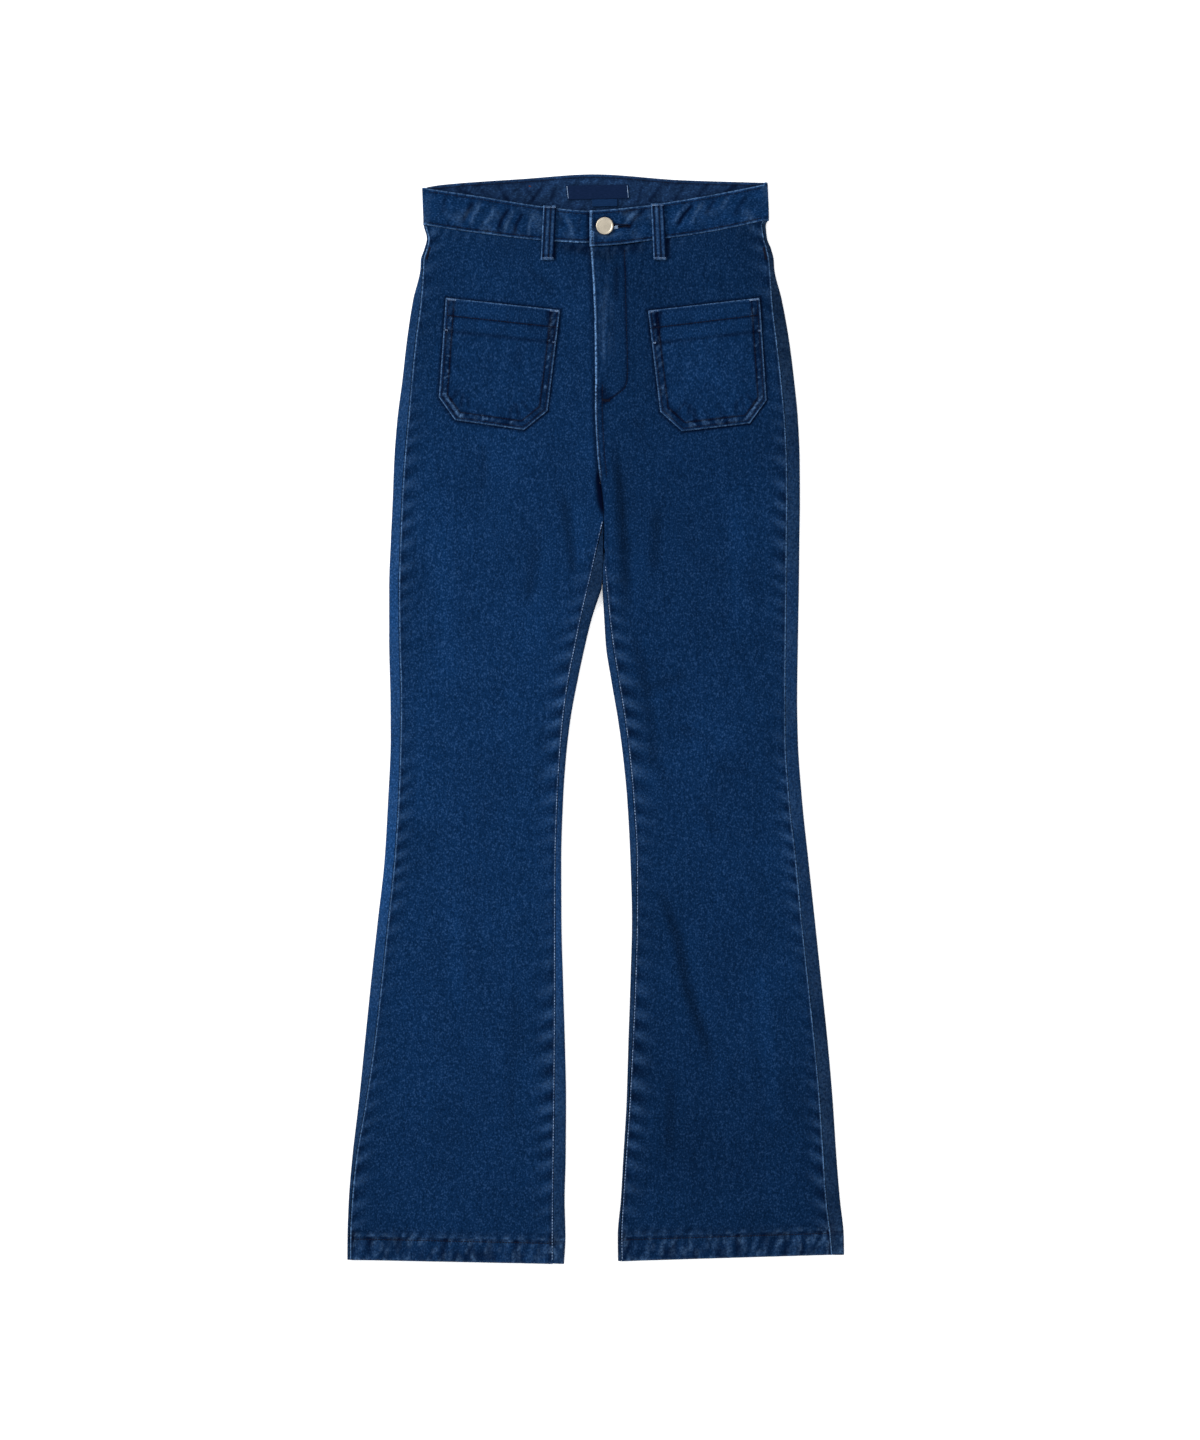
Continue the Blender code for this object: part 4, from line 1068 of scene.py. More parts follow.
@dataclass(frozen=True)
class DenimFinish(Finish):
    """Indigo denim: dyed warp over paler weft, pale where it is rubbed and in painted highlights, dark in its
    seams and in painted shade, lit by a painted gain.
    """

    deep: Colour = (0.0006, 0.0086, 0.0316, 1)
    face: Colour = (0.0043, 0.025, 0.0825, 1)
    fleck: Colour = (0.015, 0.044, 0.113, 1)
    # pale colour of rubbed wear, also used for painted highlights on ridges and edges
    rubbed: Colour = (0.138, 0.28, 0.525, 1)
    # painted shade: the dark colour that the shade mask mixes in, for creases, folds and cast shadows as well
    # as for seams
    shade_and_seam_dark: Colour = (0.0002, 0.0018, 0.011, 1)
    along: float = 1
    slub_reach: float = 0.5
    fade: float = 0.2
    # painted light: how brightly this copy of the denim is lit
    painted_light_gain: float = 1

    def build(self, effects: EffectGroups) -> Material:
        """Make the material, from the shared node groups."""
        material, graph, shader, place = self.start()
        weave = graph.add("Group", {
            "Place": place, "Along": self.along, "Slub Reach": self.slub_reach,
        }, node_tree=effects.weave).outputs
        wear, shade, tone = (
            graph.add("Attribute", attribute_name=name).outputs["Fac"] for name in ("wear", "shade", "tone"))
        rubbed = graph.add("Group", {
            "Place": place, "Mask": wear, "Break Up": 0.85}, node_tree=effects.rubbed).outputs[0]
        broad = graph.spread(graph.grain(place, (14, 9, 14), 3), 0.3, 0.7)
        colour = graph.blend(weave["Yarn"], self.deep, self.face)
        colour = graph.blend(weave["Slub"], colour, self.fleck)
        # painted light and shade: the tone attribute and the gain scale the colour
        level = graph.total((broad, self.fade), base=1 - self.fade / 2)
        level = graph.maths("MULTIPLY", level, graph.maths("MULTIPLY", tone, 2 * self.painted_light_gain))
        grey = graph.add("CombineXYZ", {0: level, 1: level, 2: level}).outputs[0]
        colour = graph.blend(1, colour, grey, "MULTIPLY")
        # mixes in painted shade and painted shadows, with the dark of seams, by the shade mask
        colour = graph.blend(shade, colour, self.shade_and_seam_dark)
        graph.fill(shader, {
            "Base Color": graph.blend(rubbed, colour, self.rubbed),
            "Roughness": graph.total((weave["Yarn"], 0.14), base=0.78),
            "Normal": graph.bump(weave["Height"], 0.35, 0.0003),
            "Specular IOR Level": 0.015, "Sheen Weight": 0.02, "Sheen Tint": (0.2, 0.45, 0.9, 1)})
        return material


@dataclass(frozen=True)
class ThreadFinish(Finish):
    """Twisted sewing thread."""

    colour: Colour
    dark: Colour

    def build(self) -> Material:
        """Make the material."""
        material, graph, shader, place = self.start()
        patches = graph.spread(graph.grain(place, (260, 260, 260), 2), 0.35, 0.65)
        twist = graph.add("TexWave", {"Vector": place, "Scale": 900, "Distortion": 2}).outputs[1]
        graph.fill(shader, {
            "Base Color": graph.blend(patches, self.dark, self.colour),
            "Normal": graph.bump(twist, 0.3, 0.0001), "Roughness": 0.7, "Specular IOR Level": 0.08})
        return material


@dataclass(frozen=True)
class SatinMetalFinish(Finish):
    """Pale satin metal of the shank button."""

    colour: Colour

    def build(self) -> Material:
        """Make the material."""
        material, graph, shader, place = self.start()
        brushed = graph.grain(place, (2600, 160, 2600), 2)
        tarnish = graph.spread(graph.grain(place, (180, 180, 180), 3), 0.35, 0.7)
        darker = (*(0.86 * value for value in self.colour[:3]), 1)
        graph.fill(shader, {
            "Base Color": graph.blend(tarnish, self.colour, darker),
            "Roughness": graph.total((brushed, 0.16), base=0.34),
            "Normal": graph.bump(brushed, 0.12, 0.0001), "Metallic": 1})
        return material


@dataclass(frozen=True)
class SatinWeaveFinish(Finish):
    """Dense satin weave of the blank label."""

    colour: Colour
    ribs: Colour

    def build(self) -> Material:
        """Make the material."""
        material, graph, shader, place = self.start()
        rib = graph.grain(place, (260, 2400, 260), 1)
        graph.fill(shader, {
            "Base Color": graph.blend(graph.spread(rib, 0.35, 0.65), self.colour, self.ribs),
            "Normal": graph.bump(rib, 0.3, 0.0001), "Roughness": 0.6, "Specular IOR Level": 0.02})
        return material


# The fronts and backs are lit and shaded copies of one denim: painted light, the left pieces lighter than the
# right as from a lamp at the upper left.
DENIMS = (
    DenimFinish("denim_front_left", painted_light_gain=1.06),
    DenimFinish("denim_front_right", painted_light_gain=0.94),
    DenimFinish("denim_back_left", painted_light_gain=1.34),
    DenimFinish("denim_back_right", painted_light_gain=0.9),
    DenimFinish("denim_band", along=0, slub_reach=0.8, fade=0.35),
    DenimFinish("denim_band_inside", (0.0036, 0.012, 0.038, 1), (0.01, 0.029, 0.076, 1),
                along=0, slub_reach=0.3, fade=0.35),
    DenimFinish("denim_pocket", slub_reach=0.6, fade=0.25),
    DenimFinish("denim_loop", slub_reach=0.7, fade=0.35),
)
OTHER_FINISHES = (
    ThreadFinish("thread_dark", (0.006, 0.0065, 0.019, 1), (0.0025, 0.0035, 0.011, 1)),
    ThreadFinish("thread_pale", (0.34, 0.46, 0.64, 1), (0.09, 0.18, 0.36, 1)),
    ThreadFinish("thread_dull", (0.23, 0.34, 0.53, 1), (0.016, 0.05, 0.14, 1)),
    ThreadFinish("thread_rust", (0.11, 0.03, 0.018, 1), (0.06, 0.02, 0.015, 1)),
    SatinMetalFinish("satin_metal", (0.53, 0.47, 0.375, 1)),
    SatinWeaveFinish("label_navy", (0.0022, 0.0085, 0.03, 1), (0.0048, 0.013, 0.043, 1)),
    SatinWeaveFinish("tab_blue", (0.0024, 0.013, 0.045, 1), (0.0055, 0.022, 0.068, 1)),
)


def make_wardrobe() -> Wardrobe:
    """Make every material once, by its name."""
    effects = EffectGroups(denim_weave_group(), rubbed_edge_group())
    wardrobe = {finish.name: finish.build(effects) for finish in DENIMS}
    return wardrobe | {finish.name: finish.build() for finish in OTHER_FINISHES}


# ---- panels

@dataclass
class FrontPanel:
    """One front, from its side seam to the centre front and the inseam."""

    side: Side
    flats: tuple[float, ...] = (0.208, 1.022, 0.177)
    edge_roll: float = 0.55
    edge_roll_reach: float = 1.6
    fly_shadows: tuple[Crease, ...] = crease_rows(
        (4, 0.42, 20.6, 84, 20.2, 128), (9, 0.42, 2, 74, 52, 72), (9, 0.55, 4, 208, 14, 226),
    )

    def __post_init__(self) -> None:
        """Find the form of this side."""
        self.form = FORMS[self.side]

    def inner_edge(self, number: Array, down: Array) -> Array:
        """Return out of the panel's inner edge: the centre front, then the inseam.

        Args:
            number: row numbers, as in the part's source.
            down: places below the back waist.

        Returns:
            Distances out from the centre line.
        """
        half_gap = SEAM_GAP / 2
        rise = self.form.sign * front_rise(down) + half_gap
        if self.side is Side.LEFT:
            rise -= (FLY_UNDERLAP + half_gap) * fall(down, *UNDERLAP_FADE)
        return np.where(number > CROTCH_ROW, self.form.inseam(down) + half_gap, rise)

    def columns(self, width: Array) -> Array:
        """Return each row's columns as distances in from the side seam, for rows that wide."""
        edge = np.array(EDGE_STEPS)
        middle = np.linspace(0, 1, MIDDLE_STEPS + 2)[1:-1]
        inner = width[:, None] - edge[::-1][None]
        middle = mix(edge[-1], width[:, None] - edge[-1], middle[None])
        outer = np.broadcast_to(edge, (len(width), len(edge)))
        return np.concatenate([outer, middle, inner], axis=1)

    def grid(self) -> Grid:
        """Lay out the panel's points."""
        form = self.form
        rows = form.rows()
        number, side_down, inner_down = rows[:, 0], rows[:, 1], rows[:, 2]
        outer = form.side_seam(side_down) - SEAM_GAP / 2
        inner = self.inner_edge(number, inner_down)
        from_seam = self.columns(outer - inner)
        across = from_seam / (outer - inner)[:, None]
        out = outer[:, None] - from_seam
        x = form.sign * out
        follow = 1 - smoothstep(number / SEAM_ROWS)[:, None]
        straight = mix(side_down[0], inner_down[0], across)
        dip = (form.waist_seam(x) + SEAM_GAP / 2 - straight) * follow
        down = mix(side_down[:, None], inner_down[:, None], across) + dip
        from_inner = (outer - inner)[:, None] - from_seam
        z = form.height(out, down)
        roll = fall(np.minimum(from_seam, from_inner), 0, self.edge_roll_reach)
        z -= self.edge_roll * roll
        hem = form.hem_share(down, across)
        wall = mix(CLOTH, HEM_CLOTH, hem) / HEM_CLOTH
        wear, shade = self.masks(out, down, from_seam, from_inner, across)
        return Grid(x, down, z, wall, wear, shade, form.tone(out, down))

    def masks(self, out: Array, down: Array, from_seam: Array, from_inner: Array,
              across: Array) -> tuple[Array, Array]:
        """Paint the panel's rubbed pale marks and painted highlights, and its dark: painted shade, painted
        shadows and dark seam lines.

        Args:
            out: distances out from the centre line.
            down: places below the back waist.
            from_seam: distances from the side seam.
            from_inner: distances from the inner edge.
            across: 0 at the side seam, 1 at the inner edge.

        Returns:
            The rubbed mask with its painted highlights, and the dark mask with painted shade and shadows.
        """
        form = self.form
        x = form.sign * out
        puckers = form.seam_puckers(out, down)
        patchy = 0.5 + 0.5 * unevenness(x, down, 24, 11)
        wear = 0.85 * fall(from_seam, 0.3, 1.6) * (0.35 + 0.9 * patchy)
        centre = bell(from_inner, 0.9, 0.8)
        on_rise = fall(down, 292, 302)
        from_centre = x - front_rise(down)
        if self.side is Side.RIGHT:
            rub = SmoothLine(((70, 0.85), (140, 1.25), (200, 1.35), (235, 0.8), (290, 0.65)))
            wear += rub(down) * centre * on_rise * (0.55 + 0.6 * patchy)
            streak = ramp(unevenness(x, down * 0.07, 2.6, 15), 0, 0.5)
            on_fly = ramp(from_centre, 1, 4) * fall(from_centre, 12, 26)
            wear += 0.07 * streak * on_fly * fall(down, 180, 205)
        wear += 0.1 * centre * ramp(down, 350, 420)
        # painted highlight on the puckers' ridges, with their wear
        wear += 0.12 * np.clip(puckers / 0.3, 0, 1)
        # painted shade in the puckers' troughs
        shade = 0.52 * np.clip(-puckers / 0.3, 0, 1) * (0.4 + 0.8 * patchy)
        # painted shade just inside the side seam, where the panel lies lower
        shade += 0.45 * bell(from_seam, 2.6, 1.2) * (0.3 + 0.7 * patchy)
        hem_wear, hem_shade = form.hem_masks(out, down, across)
        wear += hem_wear
        shade += hem_shade
        # painted shade: the dark fold between the legs, sharp at the centre seam
        reach = SmoothLine(CROTCH_REACH)(down)
        lens = ramp(down, 288, 300) * fall(down, 326, 341)
        sharp = fall(from_centre, 0.6, 1.8)
        shade += 1.1 * lens * sharp * fall(-from_centre, 0.3 * reach, 1.25 * reach)
        if self.side is Side.RIGHT:
            wear += Crease(((7.8, 110), (8.2, 192)), 1.6, 0.16).relief(x, down)
            shade += relief_of(self.fly_shadows, x, down)
            shade += 0.55 * bell(from_centre, 7.2, 1.3) * ramp(down, 196, 206) * on_rise
            shade += 0.5 * bell(from_centre, 2.6, 0.9) * on_rise
            shade += 0.85 * self.fly_line_share(x, down)
        else:
            # painted shadow of the right front's edge on the left front
            shade += 0.55 * fall(np.abs(from_centre + 1.4), 0.8, 2.6) * on_rise
            # painted shadow under the waistband
            shade += Crease(((-40, 70), (-2, 74)), 10, 0.45).relief(x, down)
        # painted shade beside the inseam
        beside = np.where(down > 352, out - form.inseam(down), 99)
        shade += 0.35 * bell(beside, 2.6, 1)
        # painted shadow that each pocket casts beside its edges
        beyond = -np.minimum.reduce(inside_distances(POCKET_OUTLINES[self.side], x, down))
        shade += np.where(beyond > -1, 0.9 * bell(beyond, 0.5, 1.6), 0)
        # painted shadow beside the belt loops' lower ends
        loops = [abs(x - place) for place in (-40.2, 70.8)]
        shade += 0.8 * fall(np.minimum(*loops), 0.8, 3.2) * fall(down, 80, 87)
        return wear, shade

    @staticmethod
    def fly_line() -> list[tuple[float, float]]:
        """Return the (x, down) points of the fly's curved stitch line."""
        curve = SmoothLine(((74.5, 28.2), (130, 29.6), (180, 31), (197, 31.2), (204, 30.4)))
        down = np.linspace(74.5, 204, 30)
        line = [(float(curve(d)), float(d)) for d in down]
        return line + [(28.6, 209), (25.6, 212.4), (22, 215), (17, 218.4), (12, 221.6), (8, 224)]

    def fly_line_share(self, x: Array, down: Array) -> Array:
        """Return how close the points are to the fly's stitch line, from 0 to 1."""
        line = self.fly_line()
        return bell(to_line([*line[::3], line[-1]], x, down)[0], 0, 1.3)

    def build(self, wardrobe: Wardrobe) -> Piece:
        """Make the panel."""
        side = self.side.label
        shell = Shell(f"denim_front_{side}", HEM_CLOTH, True, f"front_panel_{side}", "denim",
                      self.flats, [f"denim_back_{side}"])
        return shell.build(self.grid(), wardrobe[shell.name])

    def stitch(self, wardrobe: Wardrobe) -> None:
        """Sew the inseam, the hem, and on the right front the fly."""
        form = self.form
        surface = raised(lambda x, down: form.height(form.sign * x, down), 0.1)
        pale = Stitching(f"inseam_stitching_{self.side.label}", wardrobe["thread_dull"], "denim")
        start = form.station("crotch").inner + (1.5 if self.side is Side.LEFT else 18)
        inner_hem = form.station("hem edge").inner - 3
        down = np.linspace(start, inner_hem, 240)
        beside = form.inseam(down) + 0.75
        pale.row(line_of(form.sign * beside, down), surface, TOPSTITCH)
        report(pale.build())
        dark = Stitching(f"front_stitching_{self.side.label}", wardrobe["thread_dark"], "denim")
        stitch = form.station("hem stitch")
        across = np.linspace(0.004, 0.996, 60)
        hem_down = mix(stitch.side, stitch.inner, across) + 3.4
        hem_out = mix(form.side_seam(stitch.side), form.inseam(stitch.inner), across)
        dark.row(line_of(form.sign * hem_out, hem_down), surface, TOPSTITCH)
        side_tack = form.station("side tack").side
        tack_down = np.linspace(side_tack - 20, side_tack - 8, 6)
        tack_out = form.side_seam(tack_down) - 3.2
        dark.row(line_of(form.sign * tack_out, tack_down), surface, TACK_STITCH, turned=True)
        if self.side is Side.RIGHT:
            self.stitch_fly(dark, surface)
        report(dark.build())

    def stitch_fly(self, dark: Stitching, surface: Surface) -> None:
        """Sew the curved fly line, the centre seam below it, and the bar tack between them."""
        dark.row(self.fly_line(), surface, FINE_STITCH)
        for beside in (2, 7.4):
            down = np.linspace(206, 296, 40)
            dark.row(line_of(front_rise(down) + beside, down), surface, FINE_STITCH)
        dark.row([(6, 221.4), (14, 222.2)], surface, TACK_STITCH, turned=True)


@dataclass
class BackPanel:
    """One back, wrapped round its leg's folds up to the seams on the top side."""

    side: Side
    flats: tuple[float, ...] = (0.238, 1.035, 0.212)
    arc_low: tuple[float, ...] = (-90, -67.5, -45, -22.5, 0)
    upper_steps: int = 9
    underside_steps: int = 9
    centre_steps: tuple[float, ...] = (1, 0.3, 0)
    leg_middle: float = 120

    def __post_init__(self) -> None:
        """Find the form of this side."""
        self.form = FORMS[self.side]

    def upper_distances(self, seam_distance: float) -> list[float]:
        """Return distances in from a fold's edge, evenly over its upper arc to the seam."""
        radius = FOLD_RADIUS
        seam_distance -= LEAN_GAP * float(1 - smoothstep(seam_distance - radius))
        beyond = max(seam_distance - radius, 0)
        arc_length = math.acos(1 - min(seam_distance, radius) / radius) * radius + beyond
        quarter = math.pi / 2 * radius
        distances = []
        for share in np.linspace(0, 1, self.upper_steps + 1)[1:]:
            run = share * arc_length
            arc = min(run, quarter)
            distances.append(radius * (1 - math.cos(arc / radius)) + run - arc)
        return distances

    def fold(self, edge: tuple[float, float], inward: tuple[float, float],
             seam_distance: float) -> list[tuple[float, float, float]]:
        """Return points from under a fold, round it and on to a seam on the top side.

        Args:
            edge: (out, down) on the outline.
            inward: unit direction into the leg there.
            seam_distance: from the outline to the seam.

        Returns:
            (out, down, z) points; z is nan where the form gives the height.
        """
        places = []
        for degrees in self.arc_low:
            angle = math.radians(degrees)
            places.append((FOLD_RADIUS * (1 - math.cos(angle)), FOLD_RADIUS * (1 + math.sin(angle))))
        for distance in self.upper_distances(seam_distance):
            miss = 1 - min(distance / FOLD_RADIUS, 1)
            rounded = FOLD_RADIUS * (1 + math.sqrt(1 - miss * miss))
            places.append((distance, rounded if distance < FOLD_RADIUS else math.nan))
        return [(edge[0] + inward[0] * d, edge[1] + inward[1] * d, z) for d, z in places]

    def leg_inside(self, fold_down: float, inner_down: float) -> list[tuple[float, float, float]]:
        """Return points round the inner fold of the leg to its inseam."""
        outline = self.form.inner_outline
        slope = float(outline(fold_down + 4) - outline(fold_down - 1)) / 5
        length = math.hypot(1, slope)
        edge = (float(outline(fold_down)), fold_down)
        seam_out = float(self.form.inseam(inner_down)) - SEAM_GAP / 2
        points = self.fold(edge, (1 / length, -slope / length), seam_out - float(outline(inner_down)))
        arc_end = points[len(self.arc_low)]
        bent = points[:len(self.arc_low) + 1]
        for t in np.linspace(0, 1, self.upper_steps)[1:]:
            bent.append((mix(arc_end[0], seam_out, t), mix(arc_end[1], inner_down, t), math.nan))
        return points if inner_down == fold_down else bent

    def crotch(self, fold_down: float, tip_down: float) -> list[tuple[float, float, float]]:
        """Return the row that follows the back rise round the apex and up to the crotch."""
        sign, half_gap, radius = self.form.sign, SEAM_GAP / 2, FOLD_RADIUS
        points = []
        for degrees in (-90, -67.5, -45, -22.5, 0, 22.5, 45, 67.5, 90):
            angle = math.radians(degrees)
            up = radius * (1 - math.cos(angle))
            down = fold_down - up
            out = sign * float(front_rise(down)) + half_gap + 0.25 * up
            points.append((out, down, radius * (1 + math.sin(angle))))
        start, tip = points[-1][1], tip_down + CROTCH_TIP
        rest = len(self.arc_low) + self.upper_steps - len(points)
        for t in np.linspace(0, 1, rest + 1)[1:]:
            down = mix(start, tip, t)
            rise = sign * float(front_rise(down)) + half_gap
            rise = mix(rise, mix(rise, float(self.form.inseam(down)) - half_gap, 0.5), t ** 3)
            points.append((rise, down, math.nan))
        return points

    def back_top_edge(self, out: Array, z: Array) -> Array:
        """Return down of the panel's top edge, under the band at the back and on the front."""
        x = self.form.sign * out
        low = back_band_bottom(x)
        seam = np.maximum(low, self.form.waist_seam(x)) + 0.2
        return np.where(z > FOLD_RADIUS, seam, low) + SEAM_GAP / 2

    def grid(self) -> Grid:
        """Lay out the panel's points, row by row, the rows above the crotch shorter."""
        form = self.form
        rows = form.rows()
        last_row = next(row for row in rows if row[0] >= CROTCH_ROW + 1)
        below = self.leg_inside(last_row[3], last_row[2])
        lines = []
        for number, side_down, inner_down, fold_down in rows.tolist():
            outline = float(form.outline(side_down))
            seam_distance = outline - float(form.side_seam(side_down)) - SEAM_GAP / 2
            outer = self.fold((outline, side_down), (-1, 0), seam_distance)
            if number < CROTCH_ROW - 1e-6:
                edge_out = form.sign * float(back_rise(fold_down)) + SEWN_GAP / 2
                fold_down = min(fold_down, APEX_DOWN - FOLD_RADIUS - 1)
                inner = [(edge_out + FOLD_RADIUS * s, fold_down, 0) for s in self.centre_steps]
            elif number < CROTCH_ROW + 1 - 1e-6:
                crotch_row = self.crotch(APEX_DOWN, form.station("crotch").inner)
                t = number - CROTCH_ROW
                inner = [tuple(mix(a, b, t) for a, b in zip(*pair)) for pair in zip(crotch_row, below)]
            else:
                inner = self.leg_inside(fold_down, inner_down)
            start, end = outer[0], inner[0]
            shares = np.linspace(0, 1, self.underside_steps + 2)[1:-1]
            bottom = [(mix(start[0], end[0], t), mix(start[1], end[1], t), 0) for t in shares]
            lines.append(list(reversed(outer)) + bottom + inner)
        longest = max(len(line) for line in lines)
        missing = (math.nan, math.nan, -1)
        table = np.array([line + [missing] * (longest - len(line)) for line in lines])
        out, down, z = table[..., 0], table[..., 1], table[..., 2]
        from_form = np.isnan(z)
        absent = z < -0.5
        z = np.where(from_form, form.height(np.nan_to_num(out), np.nan_to_num(down)), z)
        down[0] = self.back_top_edge(out[0], z[0])
        z = np.where(absent, math.nan, z)
        hem = form.hem_share(rows[:, 1], 0)[:, None] * np.ones(z.shape)
        wall = mix(CLOTH, HEM_CLOTH, hem) / HEM_CLOTH
        on_top = (z > 0.4 * FOLD_RADIUS) & ~absent
        flat_out, flat_down = np.nan_to_num(out), np.nan_to_num(down)
        wear = np.where(on_top, 0.05 + 0.05 * unevenness(flat_out, flat_down, 30, 4), 0)
        # painted shade in the fold between the legs
        shade = self.crotch_shade(form.sign * flat_out, flat_down)
        across = np.where(flat_out > self.leg_middle, 0, 1)
        hem_wear, hem_shade = form.hem_masks(flat_out, flat_down, across)
        wear, shade = wear + 0.8 * hem_wear, shade + np.where(on_top, hem_shade, 0.4 * hem_shade)
        # painted shade on the strips beside the seams
        from_seams = np.minimum(flat_out - form.side_seam(flat_down) + np.where(across > 0.5, 99, 0),
                                form.inseam(flat_down) - flat_out + np.where(across < 0.5, 99, 0))
        shade += np.where(on_top, 0.75 * bell(from_seams, 0, 1.9), 0)
        # painted shade where the strips turn down round the folds, and painted light along the strips
        from_edge = np.minimum(form.outline(flat_down) - flat_out, np.where(
            flat_down > APEX_DOWN, flat_out - form.inner_outline(flat_down), 99))
        turning = -0.22 * fall(from_edge, 0, 3)
        underneath = 0.08 * unevenness(flat_out, flat_down, 40, 6)
        strip = np.where(across < 0.5, SmoothLine(SIDE_STRIPS[self.side])(flat_down),
                         SmoothLine(INSEAM_STRIPS[self.side])(flat_down))
        lit = (1 + form.tone(flat_out, flat_down) + turning) * np.clip(strip, 0.3, 1.8) - 1
        tone = np.where(on_top, lit, underneath)
        return Grid(form.sign * out, down, z, wall, wear, shade, tone)

    @staticmethod
    def crotch_shade(x: Array, down: Array) -> Array:
        """Paint shade between the legs, in the fold where the backs meet."""
        shade = 0.9 * CROTCH_FOLD.share(x, down) ** 1.3
        return shade + Crease(((5, 392), (6.4, 412)), 4, 0.25).relief(x, down)

    def build(self, wardrobe: Wardrobe) -> Piece:
        """Make the panel."""
        side = self.side.label
        shell = Shell(f"denim_back_{side}", HEM_CLOTH, False, f"back_panel_{side}", "denim",
                      self.flats, ["floor"])
        return shell.build(self.grid(), wardrobe[shell.name])


# ---- waistband

def back_band_bottom(x: Array) -> Array:
    """Return down of the band's lower edge across the back, straight from each side to the middle."""
    middle = float(back_rise(BAND_DEPTH))
    result = np.zeros(np.shape(x))
    for side in Side:
        bottom = STATIONS[side][0].side
        reach = side.value * float(FORMS[side].outline(bottom)) - middle
        line = mix(BAND_DEPTH, bottom, (x - middle) / reach)
        result = np.where((x < middle) == (side is Side.LEFT), line, result)
    return result


@dataclass
class Waistband:
    """The folded band, from its button end round the back to its buttonhole end."""

    flats: tuple[float | None, ...] = (0.745, 0.037, None)
    column_pitch: float = 1.6
    rows: tuple[float, ...] = (
        0, 0.02, 0.045, 0.08, 0.12, 0.165, 0.21, 0.255, 0.3, 0.345, 0.39, 0.44,
        0.487, 0.513, 0.56, 0.61, 0.655, 0.7, 0.745, 0.79, 0.835, 0.88, 0.92, 0.955, 0.98, 1,
    )
    slit_row: int = 12
    arc: tuple[float, ...] = tuple(90 - 15 * step for step in range(13))
    clear: float = 2
    edge_roll: float = 0.7
    edge_roll_reach: float = 2.2
    creases: tuple[Crease, ...] = crease_rows(
        (3.4, -0.8, -118, 25, -124, 34, -131, 48), (3.2, 0.6, -112, 26, -119, 40, -124, 52),
        (3.2, -0.9, -83, 31, -92, 44, -97, 58), (2.8, 0.6, -79, 33, -86, 46, -91, 60),
        (3, -0.8, -70, 35, -78, 50, -80, 62), (3.2, 0.6, -98, 30, -103, 42, -112, 52),
        (2.8, 0.5, -60, 38, -65, 50, -66, 62), (4.5, -0.4, -146, 22, -152, 40),
        (3.4, 0.5, -30, 40, -24, 52, -23, 63), (3.4, -0.4, -36, 39, -31, 54),
        (3.4, -0.4, -15, 40, -17, 60), (3.2, -0.8, 50, 33, 38, 44, 30, 58),
        (2.8, 0.6, 45, 33, 33, 43, 27, 54), (2.8, -0.6, 40, 34, 24, 40),
        (3.2, -0.9, 98, 27, 86, 40, 78, 54), (2.8, 0.6, 93, 27, 82, 39, 76, 50),
        (3, 0.5, 107, 25, 98, 38, 92, 52), (3.4, -0.6, 118, 23, 106, 42), (3.4, 0.4, 131, 21, 122, 36),
        (4.5, -0.45, 148, 19, 134, 44), (3.4, 0.35, 4, 63, 30, 58),
    )
    inside_creases: tuple[Crease, ...] = crease_rows(
        (3.6, 0.7, -140, 12, -112, 26), (3, 0.6, -118, 11, -104, 22), (3.4, 0.8, -96, 8, -84, 30),
        (3, 0.7, -72, 8, -56, 30), (3, 0.9, -50, 8, -66, 30), (2.8, 0.8, -38, 9, -46, 30),
        (3, 0.8, 46, 9, 40, 30), (3.4, 0.8, 66, 8, 50, 30), (3.4, 0.7, 88, 8, 76, 28),
        (3.4, 0.7, 112, 9, 98, 24), (3.4, 0.6, 140, 9, 124, 20),
    )

    @staticmethod
    def front_height(x: Array) -> Array:
        """Return the band's height on the front, outside its side folds."""
        side_out = np.where(
            x < 0, FORMS[Side.LEFT].outline(BAND_MIDDLE), FORMS[Side.RIGHT].outline(BAND_MIDDLE))
        flat = ramp(side_out - np.abs(x), BAND_FOLD_RADIUS, BAND_FOLD_RADIUS + FOLD_SWELL)
        return mix(2 * BAND_FOLD_RADIUS, BAND_HEIGHT, flat)

    @classmethod
    def overlap_height(cls, x: Array) -> Array:
        """Return the height of the buttonhole end, which lies on the button end."""
        return cls.front_height(x) + OVERLAP_LIFT * fall(x, *OVERLAP_RAMP)

    def top_height(self, x: Array, down: Array) -> Array:
        """Return the height of the topmost wall of the band, with its creases."""
        right = x > BAND_END
        height = np.where(right, self.overlap_height(x), self.front_height(x))
        bottom = np.where(right, waist_seam[Side.RIGHT](x), waist_seam[Side.LEFT](x))
        return height + self.relief(x, down, front_top(x), bottom)

    def relief(self, x: Array, down: Array, top: Array, bottom: Array) -> Array:
        """Return the creases, puckers and rolled edges of the band's outer face.

        Args:
            x: places along the band.
            down: places below the back waist.
            top: down of the band's upper edge there.
            bottom: down of its lower edge there.

        Returns:
            Heights to add.
        """
        from_top, from_bottom = down - top, bottom - down
        relief = relief_of(self.creases, x, down)
        relief += Puckers(9, 7, 0.22, 0.5, 0.3).relief(x, from_top)
        relief += Puckers(10, 8, 0.24, -0.6, 1.9).relief(x, from_bottom)
        relief += 0.16 * unevenness(x, down, 11, 21)
        fade = ramp(np.minimum(from_top, from_bottom), 0, 3)
        roll = fall(np.minimum(from_top, from_bottom), 0, self.edge_roll_reach)
        return relief * fade - self.edge_roll * roll

